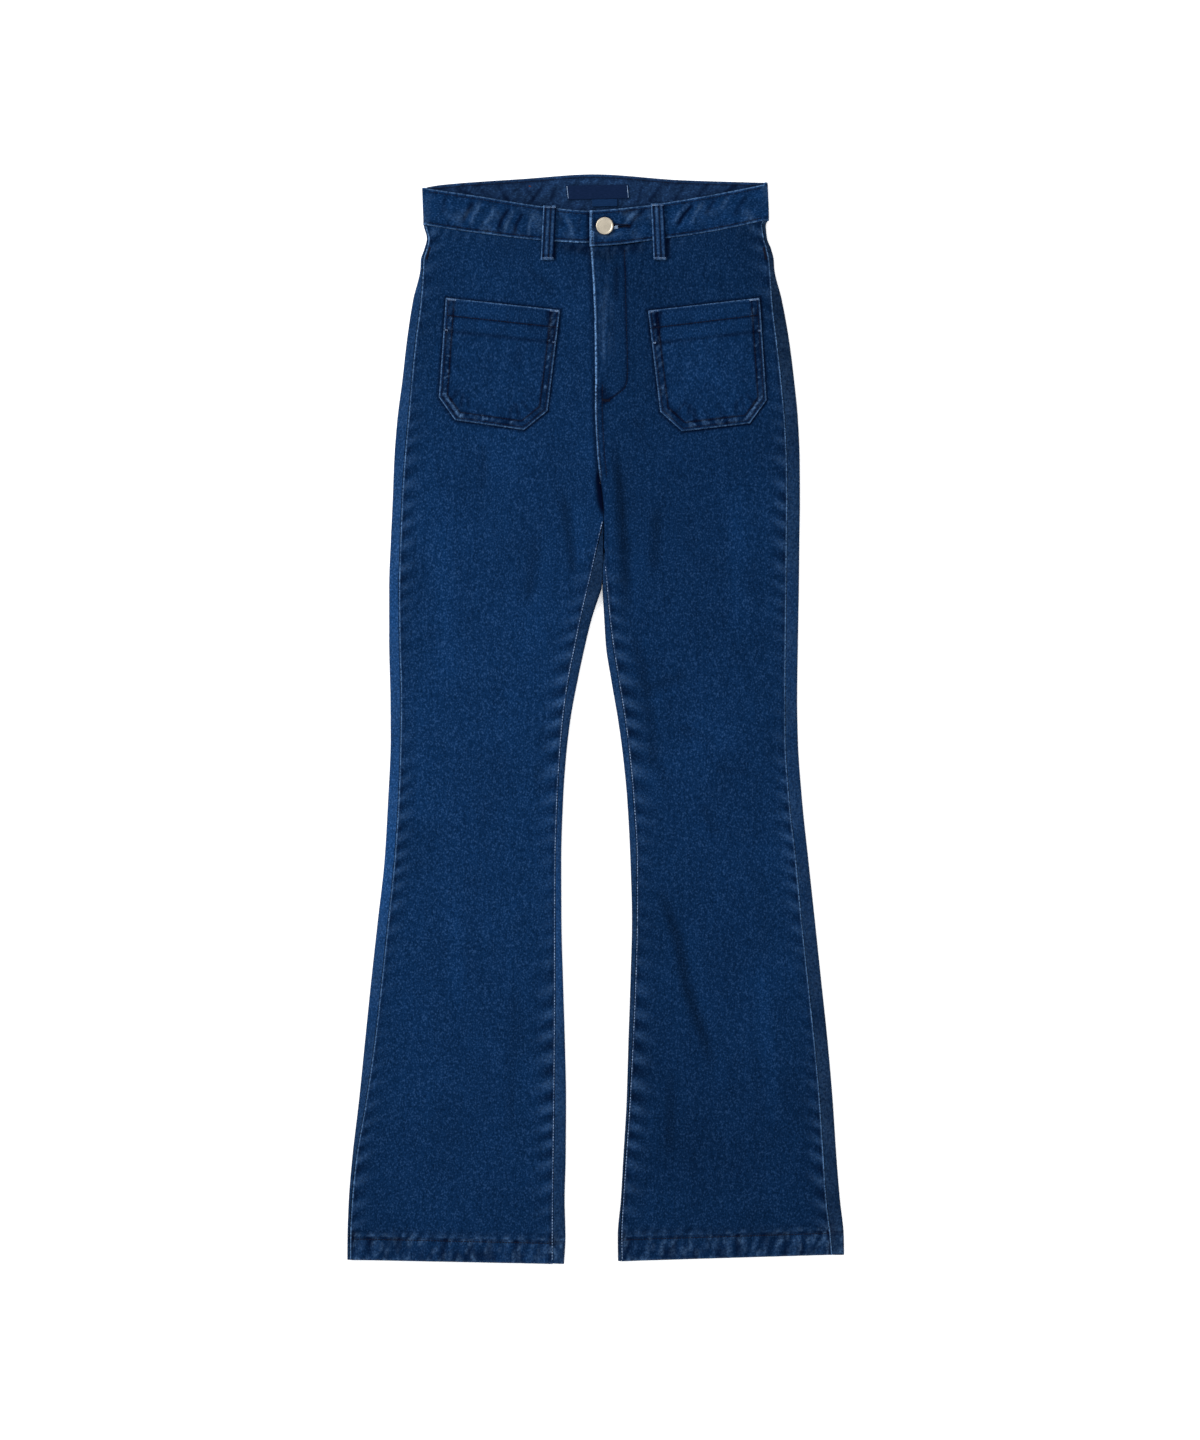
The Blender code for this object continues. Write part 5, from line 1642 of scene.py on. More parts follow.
    def grid(self) -> tuple[Grid, Array]:
        """Lay out the band's points, one line for each row across its width.

        Returns:
            The grid, and for each column whether it lies on the underside.
        """
        left, right = FORMS[Side.LEFT], FORMS[Side.RIGHT]
        left_end = -float(left.outline(BAND_MIDDLE)) + BAND_FOLD_RADIUS + self.clear
        right_end = float(right.outline(BAND_MIDDLE)) - BAND_FOLD_RADIUS - self.clear
        shares = np.array(self.rows)
        columns = []

        def straight(start: float, end: float, place: Callable[[Array], tuple]) -> None:
            """Add evenly spaced columns; place gives their top, bottom, height and kind."""
            steps = max(2, round(abs(end - start) / self.column_pitch))
            x = np.linspace(start, end, steps + 1)
            top, bottom, z, kind = place(x)
            for k in range(len(x)):
                columns.append((np.full(len(shares), x[k]), mix(top[k], bottom[k], shares),
                                np.full(len(shares), z[k]), kind))

        def under(x: Array) -> tuple:
            """Place the button end and the left front."""
            bottom = waist_seam[Side.LEFT](x)
            short = np.minimum(bottom, waist_seam[Side.RIGHT](x) - UNDERLAP_SHORT)
            bottom = np.where(x > BAND_END, short, bottom) - SEAM_GAP / 2
            return front_top(x), bottom, self.front_height(x), 0

        def behind(x: Array) -> tuple:
            """Place the back."""
            return back_top(x), back_band_bottom(x) - SEAM_GAP / 2, np.zeros(len(x)), 1

        def over(x: Array) -> tuple:
            """Place the right front and the buttonhole end."""
            return front_top(x), waist_seam[Side.RIGHT](x) - SEAM_GAP / 2, self.overlap_height(x), 2

        def turn(form: ClothForm, degrees: Sequence[float]) -> None:
            """Add the columns round a side fold."""
            rows = BACK_TOP[0] if form.side is Side.LEFT else BACK_TOP[-1]
            bottom = form.station("waist seam").side - SEAM_GAP / 2
            down = mix(rows[1], bottom, shares)
            for angle in np.radians(degrees):
                edge = form.outline(np.minimum(down, BAND_LOW)) - BAND_FOLD_RADIUS * (1 - math.cos(angle))
                height = BAND_FOLD_RADIUS * (1 + math.sin(angle))
                columns.append((form.sign * edge, down, np.full(len(shares), height), 3))

        straight(UNDERLAP_END, left_end, under)
        turn(left, self.arc)
        straight(left_end, right_end, behind)
        turn(right, self.arc[::-1])
        straight(right_end, BAND_END, over)
        x, down, z = (np.stack([column[k] for column in columns]) for k in range(3))
        kind = np.array([column[3] for column in columns])
        on_front = ((kind == 0) | (kind == 2))[:, None]
        relief = self.relief(x, down, down[:, :1], down[:, -1:] + SEAM_GAP / 2)
        near_fold = ramp(np.minimum(x - left_end, right_end - x), 0, 12)
        z += np.where(on_front, relief * np.where(relief > -0.5, near_fold, 1), 0)
        wall = np.ones(z.shape)
        behind_columns = (kind == 1)[:, None]
        crumple = relief_of(self.inside_creases, x, down)
        crumple += 0.3 * unevenness(x, down, 12, 31)
        edge = fall(down - down[:, :1], 0, 2)
        wall = np.where(behind_columns, 0.84 + 0.16 * np.clip(crumple + 0.4, 0, 1) - 0.22 * edge, wall)
        wear, shade = self.masks(x, down, kind)
        tone = 0.16 * unevenness(x, down, 9, 43) + 0.22 * unevenness(x + down, down / 3, 6, 47)
        tone = np.where(behind_columns, 1.9 * tone, 1.25 * tone + 0.05)
        cut = np.zeros((z.shape[0] - 1, z.shape[1] - 1), bool)
        in_slit = (kind == 2) & (x[:, 0] > BUTTON_X) & (x[:, 0] < BUTTONHOLE_END)
        cut[in_slit[:-1] & in_slit[1:], self.slit_row] = True
        return Grid(x, down, z, wall, wear, shade, tone, cut)

    def masks(self, x: Array, down: Array, kind: Array) -> tuple[Array, Array]:
        """Paint the band's rubbed pale marks and painted highlights, and its dark: painted shade, painted
        shadows and dark stitch lines.

        Args:
            x: places along the band.
            down: places below the back waist.
            kind: 0 and 2 for the two fronts, 1 for the back, 3 for the folds.

        Returns:
            The rubbed mask with its painted highlights, and the dark mask with painted shade and shadows.
        """
        from_top, from_bottom = down - down[:, :1], down[:, -1:] - down
        patchy = 0.5 + 0.5 * unevenness(x, down, 16, 41)
        wear = mix(0.52, 0.7, ramp(x, 40, 80)) * fall(from_top, 0.3, 1.6) * (0.3 + 0.9 * patchy)
        bright = 0.42 + 0.52 * ramp(x, -50, -38) * fall(x, -12, -8)
        wear += fall(from_bottom, 0.3, 1.7) * bright * (0.55 + 0.5 * patchy)
        outer = (kind != 1)[:, None]
        wear = np.where(outer, wear, 0.1 * fall(from_top, 0.4, 1.6))
        relief = relief_of(self.creases, x, down)
        # painted highlight on the creases' ridges
        wear += outer * 0.3 * np.clip(relief, 0, 1)
        wear += outer * 0.1 * ramp(patchy, 0.5, 0.85)
        # painted shade in the creases and the puckers' troughs
        shade = outer * 1.15 * np.clip(-relief, 0, 1)
        ripple = Puckers(10, 8, 0.24, -0.6, 1.9).relief(x, from_bottom)
        ripple += Puckers(9, 7, 0.22, 0.5, 0.3).relief(x, from_top)
        shade += outer * 0.5 * np.clip(-ripple / 0.24, 0, 1)
        # painted shade along the inside's creases
        inside = relief_of(self.inside_creases, x, down)
        shade += ~outer * 0.75 * np.clip(inside, 0, 1)
        below_edge = bell(from_top, 3.4, 1.3)
        shade += np.where(outer, 0.35 * below_edge * (0.4 + 0.8 * patchy), 0.4 * below_edge)
        # painted shadow of the front band on the inside of the back
        to_front = front_top(x) - down
        shade += ~outer * 0.36 * fall(to_front, 0, 7)
        above_seam = bell(from_bottom, 2.9, 1.1)
        shade += outer * 0.62 * above_seam * (0.4 + 0.8 * patchy)
        # painted shadow of the buttonhole end on the button end
        shade += (kind == 0)[:, None] * 0.75 * ramp(x, -12, -7)
        over = (kind == 2)[:, None]
        to_end = x - BAND_END
        turned = mix(3, 4.8, ramp(down, 54, 58))
        end_rub = fall(to_end, 0.5 * turned, turned)
        wear += over * 0.66 * end_rub * (0.7 + 0.5 * patchy)
        # painted shade beside the turned end
        shade += over * 0.5 * bell(to_end, turned + 1.6, 1.3)
        # painted shadow round the button
        around_button = np.hypot(x - BUTTON_X, down - BUTTON_DOWN)
        shade += over * 0.55 * fall(around_button, 9, 12.5)
        past_end = ramp(x, BUTTONHOLE_END - 4, BUTTONHOLE_END + 3)
        beside_slit = fall(np.abs(down - BUTTON_DOWN), 0.8, 2.6)
        along_slit = (x > BUTTON_X) * (1 - past_end)
        shade += over * 0.6 * beside_slit * along_slit
        return wear, shade

    def build(self, wardrobe: Wardrobe) -> Piece:
        """Make the band."""
        shell = Shell("denim_waistband", BAND_CLOTH, False, "waistband", "band_denim",
                      self.flats, ["floor", "denim_back_left"])
        return shell.build(self.grid(), wardrobe["denim_band"], wardrobe["denim_band_inside"])

    @staticmethod
    def inside_height(x: Array, down: Array) -> Array:
        """Return the height at which the thread lies on the inside of the back."""
        return np.full(np.shape(x), BAND_CLOTH + 0.02)

    def stitch(self, wardrobe: Wardrobe) -> None:
        """Sew round the band's edges, its end, its buttonhole and its inside."""
        dark = Stitching("waistband_stitching", wardrobe["thread_dark"], "band_denim")
        surface = raised(self.top_height, 0.12)
        for start, end, seam in ((-164, -8, Side.LEFT), (-3.5, 163, Side.RIGHT)):
            x = np.linspace(start, end, 90)
            dark.row(line_of(x, front_top(x) + 3), surface, FINE_STITCH)
            dark.row(line_of(x, waist_seam[seam](x) - 3), surface, FINE_STITCH)
        end_x = BAND_END + 2.6
        top, bottom = float(front_top(end_x)) + 3, float(waist_seam[Side.RIGHT](end_x)) - 3.4
        dark.row([(end_x, top), (end_x, bottom)], surface, FINE_STITCH)
        inside = self.inside_height
        x = np.linspace(-160, 160, 120)
        dark.row(line_of(x, back_top(x) + 3.2), inside, FINE_STITCH)
        hole = Stitch(pitch=0.7, length=1.2, width=0.5)
        middle = BUTTON_DOWN - 0.3
        for beside in (-1, 1):
            dark.row([(BUTTON_X + 7, middle + 1.6 * beside), (BUTTONHOLE_END + 0.5, middle + 0.7 * beside)],
                     surface, hole, turned=True)
        report(dark.build())
        pale = Stitching("buttonhole_gimp", wardrobe["thread_pale"], "band_denim")
        gimp = Stitch(pitch=5, length=4.6, width=0.8)
        for start, end in (((8.4, 1), (14.4, -0.2)), ((8.5, 2), (14, 0.9)), ((8.7, 3.1), (13.2, 2))):
            line = [(BUTTON_X + x, middle + down) for x, down in (start, end)]
            pale.row(line, surface, gimp)
        report(pale.build())
        rust = Stitching("loop_tack_inside", wardrobe["thread_rust"], "band_denim")
        rust.row([(-65.6, 11.4), (-63.2, 12.4)], inside, Stitch(0.8, 1.6, 0.6), turned=True)
        report(rust.build())


# ---- pieces sewn on

def inset(corners: Points, distance: float) -> list[tuple[float, float]]:
    """Move each side of a closed outline inwards.

    Args:
        corners: (x, down) points, clockwise as seen from above.
        distance: how far to move the sides.

    Returns:
        The corners of the smaller outline.
    """
    moved = []
    count = len(corners)
    for k in range(count):
        (ax, ad), (bx, bd) = corners[k], corners[(k + 1) % count]
        length = math.hypot(bx - ax, bd - ad)
        nx, nd = -(bd - ad) / length * distance, (bx - ax) / length * distance
        moved.append(((ax + nx, ad + nd), (bx + nx, bd + nd)))
    result = []
    for k in range(count):
        (ax, ad), (bx, bd) = moved[k - 1]
        (cx, cd), (dx, dd) = moved[k]
        ux, ud, vx, vd = bx - ax, bd - ad, dx - cx, dd - cd
        t = ((cx - ax) * vd - (cd - ad) * vx) / (ux * vd - ud * vx)
        result.append((ax + ux * t, ad + ud * t))
    return result


@dataclass
class PatchPocket:
    """A patch pocket on the front, with a deep hem across its mouth and turned-in sides."""

    side: Side
    corners: Points
    mouth_deep: float
    flats: tuple[float, ...] = (0.119, 0.131, 0.0129)
    border: float = 9
    border_rise: float = 0.35
    hem_rise: float = 0.8
    columns: int = 84
    row_pitch: float = 1.45

    def height(self, x: Array, down: Array) -> Array:
        """Return the height of the pocket's outer face."""
        distances = inside_distances(self.corners, x, down)
        mouth = distances[0]
        rim = np.minimum.reduce(distances[1:])
        height = front_base_height(x, down) + LAY_GAP + CLOTH
        height += self.hem_rise * fall(mouth, self.mouth_deep - 1.2, self.mouth_deep + 1.2)
        height += self.border_rise * fall(rim, self.border - 1.4, self.border + 1.4)
        height += self.ripples(x, down, mouth, rim)
        edge = np.minimum(mouth, rim)
        return height - 0.55 * fall(edge, 0, 1.6)

    def ripples(self, x: Array, down: Array, mouth: Array, rim: Array) -> Array:
        """Return the puckers beside the pocket's stitching, and its soft creases."""
        along = x + down * 0.9
        pulled = Puckers(8.6, 6.5, 0.1, 0, 0.5 + self.side.value).relief(along, rim - 5)
        pulled += Puckers(12, 9, 0.14, 0.2, 1.1).relief(x, mouth - 17)
        low = (self.corners[3][1] + self.corners[4][1]) / 2
        fan = Puckers(17, 13, 0.22, 0.5, 2).relief(x, low - 10 - down)
        pulled += fan + 0.16 * unevenness(x, down, 17, 51 + self.side.value)
        pulled += relief_of(self.corner_creases(), x, down)
        return pulled * ramp(np.minimum(mouth, rim), 0, 3)

    def grid(self) -> Grid:
        """Lay out the pocket's points from its mouth to its lower edge."""
        top_left, top_right, low_right, bottom_right, bottom_left, low_left = self.corners
        left = [top_left, low_left, bottom_left]
        right = [top_right, low_right, bottom_right]
        edge = np.array([0, 0.7, 1.5, 2.6, 4.2])
        lines = []
        for (left_a, left_b), (right_a, right_b) in zip(zip(left, left[1:]), zip(right, right[1:])):
            reach = max(left_b[1] - left_a[1], right_b[1] - right_a[1])
            steps = round(reach / self.row_pitch)
            for step in range(steps + (left_b == left[-1])):
                t = step / steps
                a, b = np.array(left_a), np.array(right_a)
                a, b = mix(a, np.array(left_b), t), mix(b, np.array(right_b), t)
                lines.append((*a, *b))
        ends = np.array(lines)
        width = np.hypot(ends[:, 2] - ends[:, 0], ends[:, 3] - ends[:, 1])[:, None]
        middle = np.linspace(0, 1, self.columns)[1:-1][None]
        near, far = edge[None] / width, 1 - edge[::-1][None] / width
        across = np.concatenate([near, mix(near[:, -1:], far[:, :1], middle), far], axis=1)
        x = mix(ends[:, :1], ends[:, 2:3], across)
        down = mix(ends[:, 1:2], ends[:, 3:4], across)
        wear, shade = self.masks(x, down)
        mouth = inside_distances(self.corners, x, down)[0]
        extra = self.hem_rise * fall(mouth, self.mouth_deep - 1.2, self.mouth_deep + 1.2)
        wall = (CLOTH + extra) / (CLOTH + self.hem_rise)
        tone = 0.07 * unevenness(x, down, 24, 66) + 0.08 * unevenness(x, down / 1.6, 8, 67)
        return Grid(x, down, self.height(x, down), wall, wear, shade, tone)

    def corner_creases(self) -> list[Crease]:
        """Return the short creases that fan out from the pocket's lower corners."""
        creases = []
        bottom_right, bottom_left = self.corners[3], self.corners[4]
        for (x, down), lean in ((bottom_right, -1), (bottom_left, 1)):
            for shift, run, rise in ((4, 5, 20), (14, -2, 16), (-7, 12, 15)):
                start = (x + lean * shift, down - 9 - abs(min(shift, 0)))
                end = (start[0] + lean * run, start[1] - rise)
                creases.append(Crease((start, end), 3.6, -0.26))
        return creases

    def masks(self, x: Array, down: Array) -> tuple[Array, Array]:
        """Paint the pocket's pale edges and its dark seams, with painted highlights on its ripples and
        painted shade in its ripples and corner creases.

        Args:
            x: places to the right of the centre line.
            down: places below the back waist.

        Returns:
            The rubbed mask and the dark mask.
        """
        distances = inside_distances(self.corners, x, down)
        mouth, rim = distances[0], np.minimum.reduce(distances[1:])
        patchy = 0.5 + 0.5 * unevenness(x, down, 15, 61)
        edge = np.minimum(mouth, rim)
        wear = 0.62 * fall(edge, 0.2, 1.3) * (0.4 + 0.9 * patchy)
        chamfer = distances[4] if self.side is Side.LEFT else distances[2]
        wear += 0.34 * bell(chamfer, 5.8, 0.9) * (rim > 3) * (0.4 + 0.9 * patchy)
        ripples = self.ripples(x, down, mouth, rim)
        in_border = fall(rim, self.border - 1, self.border + 1)
        # painted highlight on the ripples' ridges
        wear += 0.2 * np.clip(ripples / 0.25, 0, 1) * in_border
        shade = 0.3 * in_border * (0.3 + 1 * patchy)
        # painted shade in the ripples' troughs
        shade += 0.36 * np.clip(-ripples / 0.25, 0, 1)
        row = bell(rim, self.border - 0.8, 1.3)
        shade += 0.75 * row * (mouth > 2) * (0.5 + 0.8 * patchy)
        shade += 0.55 * bell(rim, 3.2, 1.1) * (0.3 + 0.9 * patchy)
        shade += 0.65 * bell(mouth, self.mouth_deep + 0.8, 1.9) * (0.3 + 0.9 * patchy)
        shade += 0.7 * bell(mouth, 17.4, 1.3) * (rim > 3)
        shade += 0.3 * bell(mouth, 3.4, 1.2) * (0.3 + 0.9 * patchy)
        specks = ramp(unevenness(x, down, 3.4, 63), 0.25, 0.55) * bell(rim, 6, 2.2)
        wear += 0.36 * specks
        # painted shade in the corner creases
        shade += 0.16 * sum(crease.share(x, down) for crease in self.corner_creases())
        inner = distances[1] if self.side is Side.LEFT else distances[5]
        limit = 15 - 0.2 * mouth
        wedge = ramp(inner, 4.5, 6.5) * fall(inner, limit - 2, limit)
        wedge = wedge * fall(mouth, self.mouth_deep - 3, self.mouth_deep + 1)
        shade += 0.6 * wedge * ramp(edge, 1.2, 2.4)
        return wear, shade

    def build(self, wardrobe: Wardrobe) -> Piece:
        """Make the pocket."""
        side = self.side.label
        shell = Shell(f"patch_pocket_{side}", CLOTH + self.hem_rise, True, f"pocket_{side}",
                      "pocket_denim", self.flats, [f"denim_front_{side}"])
        return shell.build(self.grid(), wardrobe["denim_pocket"])

    def stitch(self, wardrobe: Wardrobe) -> None:
        """Sew the two rows round the pocket, the row across its mouth and its corner tacks."""
        surface = raised(self.height, 0.1)
        dark = Stitching(f"pocket_stitching_{self.side.label}", wardrobe["thread_dark"], "pocket_denim")
        for distance in (2.6, self.border - 0.8):
            ring = inset(self.corners, distance)
            dark.row(ring[1:] + ring[:1], surface, FINE_STITCH)
        top_left, top_right = np.array(self.corners[0]), np.array(self.corners[1])
        low = np.array([0, 17.2])
        dark.row([top_left + low + (1.5, 0.2), top_right + low - (1.5, 0.2)], surface, TOPSTITCH)
        report(dark.build())
        pale = Stitching(f"pocket_tacks_{self.side.label}", wardrobe["thread_dull"], "pocket_denim")
        along = (top_right - top_left) / np.linalg.norm(top_right - top_left)
        tack = Stitch(pitch=0.9, length=2, width=0.5)
        for corner, low, inward in ((top_left, 5, along), (top_right, 2, -along)):
            start = corner + inward * 1 + (0, 1.3)
            pale.row([start, start + inward * 9], surface, tack, turned=True)
            beside = np.array(self.corners[low])
            mark = mix(corner, beside, self.mouth_deep / (beside[1] - corner[1])) + inward * 1.2
            pale.row([mark, mark + inward * 2.6], surface, tack, turned=True)
        report(pale.build())


@dataclass
class BeltLoop:
    """A folded strip over the band, sewn down above and below it."""

    side: Side
    x_top: float
    x_bottom: float
    half_width: float
    top: float
    bottom: float
    band: Waistband
    flats: tuple[float | None, ...] = (0.012, 0.054, None)
    bulge: float = 0.9
    crown: float = 0.35

    def centre(self, down: Array) -> Array:
        """Return x of the loop's middle."""
        return mix(self.x_top, self.x_bottom, (down - self.top) / (self.bottom - self.top))

    def height(self, x: Array, down: Array) -> Array:
        """Return the height of the loop's outer face."""
        centre = self.centre(down)
        seam = float(waist_seam[self.side](self.x_top))
        rows = ((self.top, 0), (self.top + 3, 0), (self.top + 8, self.bulge),
                (mix(self.top, seam, 0.5), 1.3 * self.bulge), (seam - 6, self.bulge),
                (seam + 3, 0.8 * self.bulge), (self.bottom - 5, 0.1), (self.bottom, 0))
        bulge = SmoothLine(rows)(down)
        right = centre > BAND_END
        under = np.where(right, self.band.overlap_height(centre), self.band.front_height(centre))
        panel = np.maximum.reduce([
            front_base_height(centre + self.half_width * s, down) for s in (-1, 0, 1)])
        under = mix(under, panel, ramp(down, seam + 1, seam + 9))
        across = np.abs(x - centre) / self.half_width
        round_off = self.crown * (1 - across ** 2) - 0.5 * ramp(across, 0.82, 1)
        ridge = 0.12 * np.cos(across * math.pi * 2)
        return under + LAY_GAP + LOOP_CLOTH + bulge + round_off + ridge

    def grid(self) -> Grid:
        """Lay out the loop's points."""
        half = (0.2, 0.4, 0.6, 0.76, 0.88, 0.95, 1)
        across = np.array([*(-share for share in reversed(half)), 0, *half])
        across, down = np.meshgrid(across, np.linspace(self.top, self.bottom, 56))
        x = self.centre(down) + across * self.half_width
        patchy = 0.5 + 0.5 * unevenness(x, down, 7, 71)
        from_top, from_bottom = down - self.top, self.bottom - down
        # the pale left edge: wear, with a painted highlight where it faces the light
        wear = ramp(-across, 0.84, 0.96) * (0.25 + 0.8 * patchy)
        wear += 0.2 * bell(across, -0.22, 0.18) * (0.4 + 0.9 * patchy)
        wear += 0.26 * bell(across, 0.54, 0.14) * (0.2 + 1.1 * patchy)
        wear += fall(np.minimum(from_top, from_bottom), 0.5, 1.6) * 0.45 * patchy
        shade = 0.85 * bell(across, -0.64, 0.13)
        shade += 0.9 * bell(across, 0.16, 0.13)
        # painted shade on the loop's right edge, which rolls down away from the light
        shade += 0.95 * ramp(across, 0.68, 0.84)
        shade += 0.6 * bell(from_bottom, 4.4, 1.2)
        shade += 0.5 * bell(from_top, 3.6, 1.2)
        return Grid(x, down, self.height(x, down), None, wear, shade)

    def build(self, wardrobe: Wardrobe) -> Piece:
        """Make the loop."""
        side = self.side.label
        shell = Shell(f"loop_strip_{side}", LOOP_CLOTH, True, f"belt_loop_{side}", "band_denim",
                      self.flats, ["denim_waistband", f"denim_front_{side}"])
        return shell.build(self.grid(), wardrobe["denim_loop"])

    def stitch(self, wardrobe: Wardrobe) -> None:
        """Sew the loop's two rows and the bar tacks across its ends."""
        surface = raised(self.height, 0.1)
        dark = Stitching(f"loop_stitching_{self.side.label}", wardrobe["thread_dark"], "band_denim")
        down = np.linspace(self.top + 1, self.bottom - 1, 30)
        for share in (-0.64, 0.16):
            line = line_of(self.centre(down) + share * self.half_width, down)
            dark.row(line, surface, FINE_STITCH)
        report(dark.build())
        pale = Stitching(f"loop_tacks_{self.side.label}", wardrobe["thread_dull"], "band_denim")
        reach = 0.86 * self.half_width
        for end in (self.top + 1.8, self.bottom - 1.8):
            middle = float(self.centre(np.array(end)))
            pale.row([(middle - reach, end), (middle + reach, end)], surface,
                     Stitch(pitch=0.8, length=1.3, width=0.5), turned=True)
        report(pale.build())


@dataclass
class ShankButton:
    """A plain domed button, turned, on the band's button end."""

    segments: int = 64

    def profile(self) -> list[tuple[float, float]]:
        """Return the turned profile as (radius, height) points, from the crown to the seat."""
        seat = BAND_HEIGHT + SEAM_GAP
        cap = BAND_HEIGHT + OVERLAP_LIFT + SEAM_GAP
        radius = BUTTON_RADIUS
        points = [(0, cap + 2.15), (0.3 * radius, cap + 2.15), (0.62 * radius, cap + 2.1)]
        points += [(0.74 * radius, cap + 2.08), (0.79 * radius, cap + 2.2), (0.84 * radius, cap + 2.5)]
        for degrees in range(75, -91, -15):
            angle = math.radians(degrees)
            points.append((radius - 1.1 + 1.1 * math.cos(angle), cap + 1.35 + 1.25 * math.sin(angle)))
        points += [(0.8 * radius, cap), (2.4, cap), (2.3, seat + 0.5), (2.6, seat), (0, seat)]
        return points

    def build(self, wardrobe: Wardrobe) -> Piece:
        """Make the button."""
        profile = self.profile()
        mesh = bpy.data.meshes.new("shank_button")
        centre = points_in_metres(np.array(BUTTON_X), np.array(BUTTON_DOWN), np.array(0))
        rings = []
        points = []
        for radius, z in profile:
            if radius == 0:
                rings.append([len(points)])
                points.append((centre[0], centre[1], z * MM))
                continue
            rings.append(list(range(len(points), len(points) + self.segments)))
            for k in range(self.segments):
                angle = 2 * math.pi * k / self.segments
                points.append((centre[0] + radius * MM * math.cos(angle),
                               centre[1] + radius * MM * math.sin(angle), z * MM))
        faces = []
        for above, below in zip(rings, rings[1:]):
            for k in range(self.segments):
                corners = (above[k % len(above)], below[k % len(below)],
                           below[(k + 1) % len(below)], above[(k + 1) % len(above)])
                faces.append(tuple(dict.fromkeys(corners)))
        mesh.from_pydata(points, [], faces)
        mesh.materials.append(wardrobe["satin_metal"])
        mesh.shade_smooth()
        piece = add_piece("shank_button", mesh, "button_metal")
        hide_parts("button")
        return piece


@dataclass
class WovenPatch:
    """A small blank woven piece on the inside of the back waistband."""

    name: str
    node: str
    corners: Points
    flats: tuple[float, float, float]
    columns: int = 40
    rows: int = 16

    def height(self, x: Array, down: Array) -> Array:
        """Return the height of the patch's outer face."""
        wave = 0.22 * unevenness(x, down, 16, 81) + 0.08 * unevenness(x, down, 5, 83)
        return BAND_CLOTH + SEAM_GAP + WEAVE_CLOTH + wave

    def grid(self) -> Grid:
        """Lay out the patch's points."""
        top_left, top_right, bottom_right, bottom_left = (np.array(corner) for corner in self.corners)
        s = np.linspace(0, 1, self.columns)[None, :, None]
        t = np.linspace(0, 1, self.rows)[:, None, None]
        points = mix(mix(top_left, top_right, s), mix(bottom_left, bottom_right, s), t)
        x, down = points[..., 0], points[..., 1]
        return Grid(x, down, self.height(x, down))

    def build(self, finish: Material) -> Piece:
        """Make the patch."""
        shell = Shell(self.name, WEAVE_CLOTH, True, self.node, "label_weave", self.flats, ["denim_waistband"])
        return shell.build(self.grid(), finish)


def stitch_label(label: WovenPatch, wardrobe: Wardrobe) -> None:
    """Sew the label down at its two ends."""
    pale = Stitching("label_stitching", wardrobe["thread_pale"], "label_weave")
    fine = Stitch(pitch=1.5, length=1.4, width=0.6)
    for line in (((-28.2, 12), (-26.8, 24.4)), ((30.9, 11.2), (32, 23.3))):
        pale.row(line, raised(label.height, 0.08), fine)
    report(pale.build())


# ---- the studio

@dataclass
class Studio:
    """The pale floor, the soft light and the camera straight above."""

    photo_width: float = 1200
    photo_height: float = 1440
    mm_per_pixel: float = 0.98
    photo_centre_x: float = 595.7
    photo_waist: float = 174
    lens: float = 90
    sensor: float = 36
    floor_size: float = 8

    def build(self) -> None:
        """Set the stage."""
        self.add_floor()
        self.add_lights()
        self.add_camera()
        bpy.context.scene.view_settings.view_transform = "Standard"

    def add_floor(self) -> None:
        """Lay the floor just under the cloth."""
        bpy.ops.mesh.primitive_plane_add(size=self.floor_size, location=(0, 0, -0.0003))
        floor = bpy.context.object
        floor.name = "floor"
        paint = bpy.data.materials.new("floor_white")
        paint.use_nodes = True
        shader = paint.node_tree.nodes["Principled BSDF"]
        shader.inputs["Base Color"].default_value = (0.93, 0.93, 0.93, 1)
        shader.inputs["Emission Color"].default_value = (1, 1, 1, 1)
        shader.inputs["Emission Strength"].default_value = 0.3
        shader.inputs["Roughness"].default_value = 0.9
        shader.inputs["Specular IOR Level"].default_value = 0.1
        floor.data.materials.append(paint)

    def add_lights(self) -> None:
        """Light the room softly, a little more from the upper left."""
        world = bpy.data.worlds.new("studio")
        world.use_nodes = True
        background = world.node_tree.nodes["Background"]
        background.inputs["Color"].default_value = (0.97, 0.985, 1, 1)
        background.inputs["Strength"].default_value = 0.97
        bpy.context.scene.world = world
        for name, place, energy, size in (
            ("key", (-1.9, 1.5, 1.7), 54, 1.1),
            ("fill", (1.8, -1.4, 2.2), 20, 1.8),
        ):
            lamp = bpy.data.lights.new(name, "AREA")
            lamp.energy = energy
            lamp.size = size
            light = bpy.data.objects.new(name, lamp)
            light.location = place
            light.rotation_mode = "QUATERNION"
            light.rotation_quaternion = (-Vector(place)).to_track_quat("-Z", "Y")
            bpy.context.scene.collection.objects.link(light)

    def add_camera(self) -> None:
        """Look straight down with the photograph's framing."""
        across = (self.photo_width / 2 - self.photo_centre_x) * self.mm_per_pixel * MM
        down = (self.photo_height / 2 - self.photo_waist) * self.mm_per_pixel
        view_height = self.photo_height * self.mm_per_pixel * MM
        lens = bpy.data.cameras.new("camera")
        lens.lens = self.lens
        lens.sensor_width = self.sensor
        camera = bpy.data.objects.new("camera", lens)
        camera.location = (
            across, (LENGTH / 2 - down) * MM, view_height * self.lens / self.sensor + REST_HEIGHT * MM)
        bpy.context.scene.collection.objects.link(camera)
        bpy.context.scene.camera = camera


# ---- the jeans

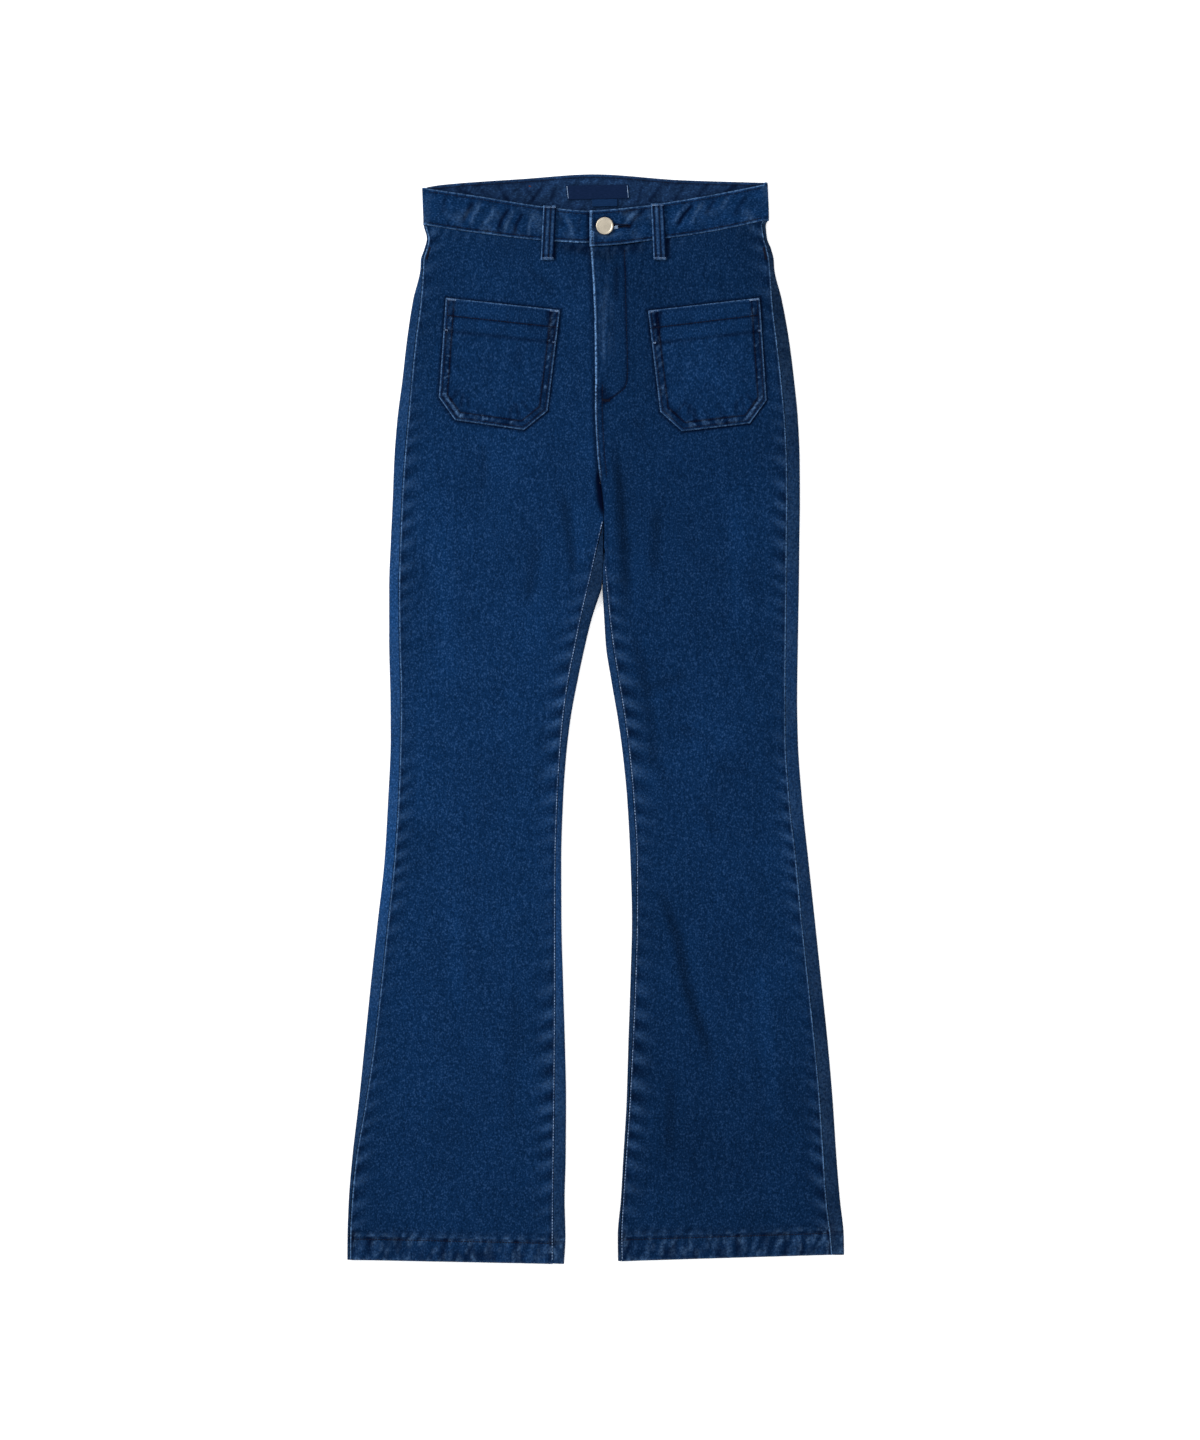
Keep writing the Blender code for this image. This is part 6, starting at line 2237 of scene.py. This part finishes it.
def report(piece: Piece) -> Piece:
    """Log a finished piece and hand it on."""
    log.info("%s: %d points", piece.name, len(piece.data.vertices))
    return piece


@dataclass
class Jeans:
    """The whole garment, from its panels to its fastenings."""

    wardrobe: Wardrobe
    band: Waistband = field(default_factory=Waistband)

    def build_legs(self) -> None:
        """Make the fronts and backs and sew them."""
        for side in Side:
            report(BackPanel(side).build(self.wardrobe))
            front = FrontPanel(side)
            report(front.build(self.wardrobe))
            front.stitch(self.wardrobe)

    def build_waist(self) -> None:
        """Make the waistband with its loops, button and label."""
        report(self.band.build(self.wardrobe))
        self.band.stitch(self.wardrobe)
        for loop in (
            BeltLoop(Side.LEFT, -44.8, -47.4, 6.3, 31.4, 84.4, self.band),
            BeltLoop(Side.RIGHT, 60.5, 63.2, 6.3, 29.4, 84.4, self.band),
        ):
            report(loop.build(self.wardrobe))
            loop.stitch(self.wardrobe)
        report(ShankButton().build(self.wardrobe))
        label = WovenPatch(
            "woven_label", "label", ((-29.1, 11.3), (31.5, 10.3), (32.8, 24), (-27.4, 25)),
            (0.061, 0.014, 0.00083))
        report(label.build(self.wardrobe["label_navy"]))
        stitch_label(label, self.wardrobe)
        tab = WovenPatch(
            "folded_tab", "size_tab", ((-3.6, 24.9), (20.9, 24.5), (21.1, 31.6), (-3.4, 31.9)),
            (0.025, 0.01, 0.00018))
        report(tab.build(self.wardrobe["tab_blue"]))

    def build_pockets(self) -> None:
        """Make the two patch pockets."""
        for pocket in (
            PatchPocket(Side.LEFT, POCKET_OUTLINES[Side.LEFT], 31.5),
            PatchPocket(Side.RIGHT, POCKET_OUTLINES[Side.RIGHT], 32),
        ):
            report(pocket.build(self.wardrobe))
            pocket.stitch(self.wardrobe)


def main() -> None:
    """Build the stage and the jeans, and write how large they are."""
    logging.basicConfig(level=logging.INFO, format="%(name)s: %(message)s")
    Studio().build()
    jeans = Jeans(make_wardrobe())
    jeans.build_legs()
    jeans.build_waist()
    jeans.build_pockets()


if __name__ == "__main__":
    main()
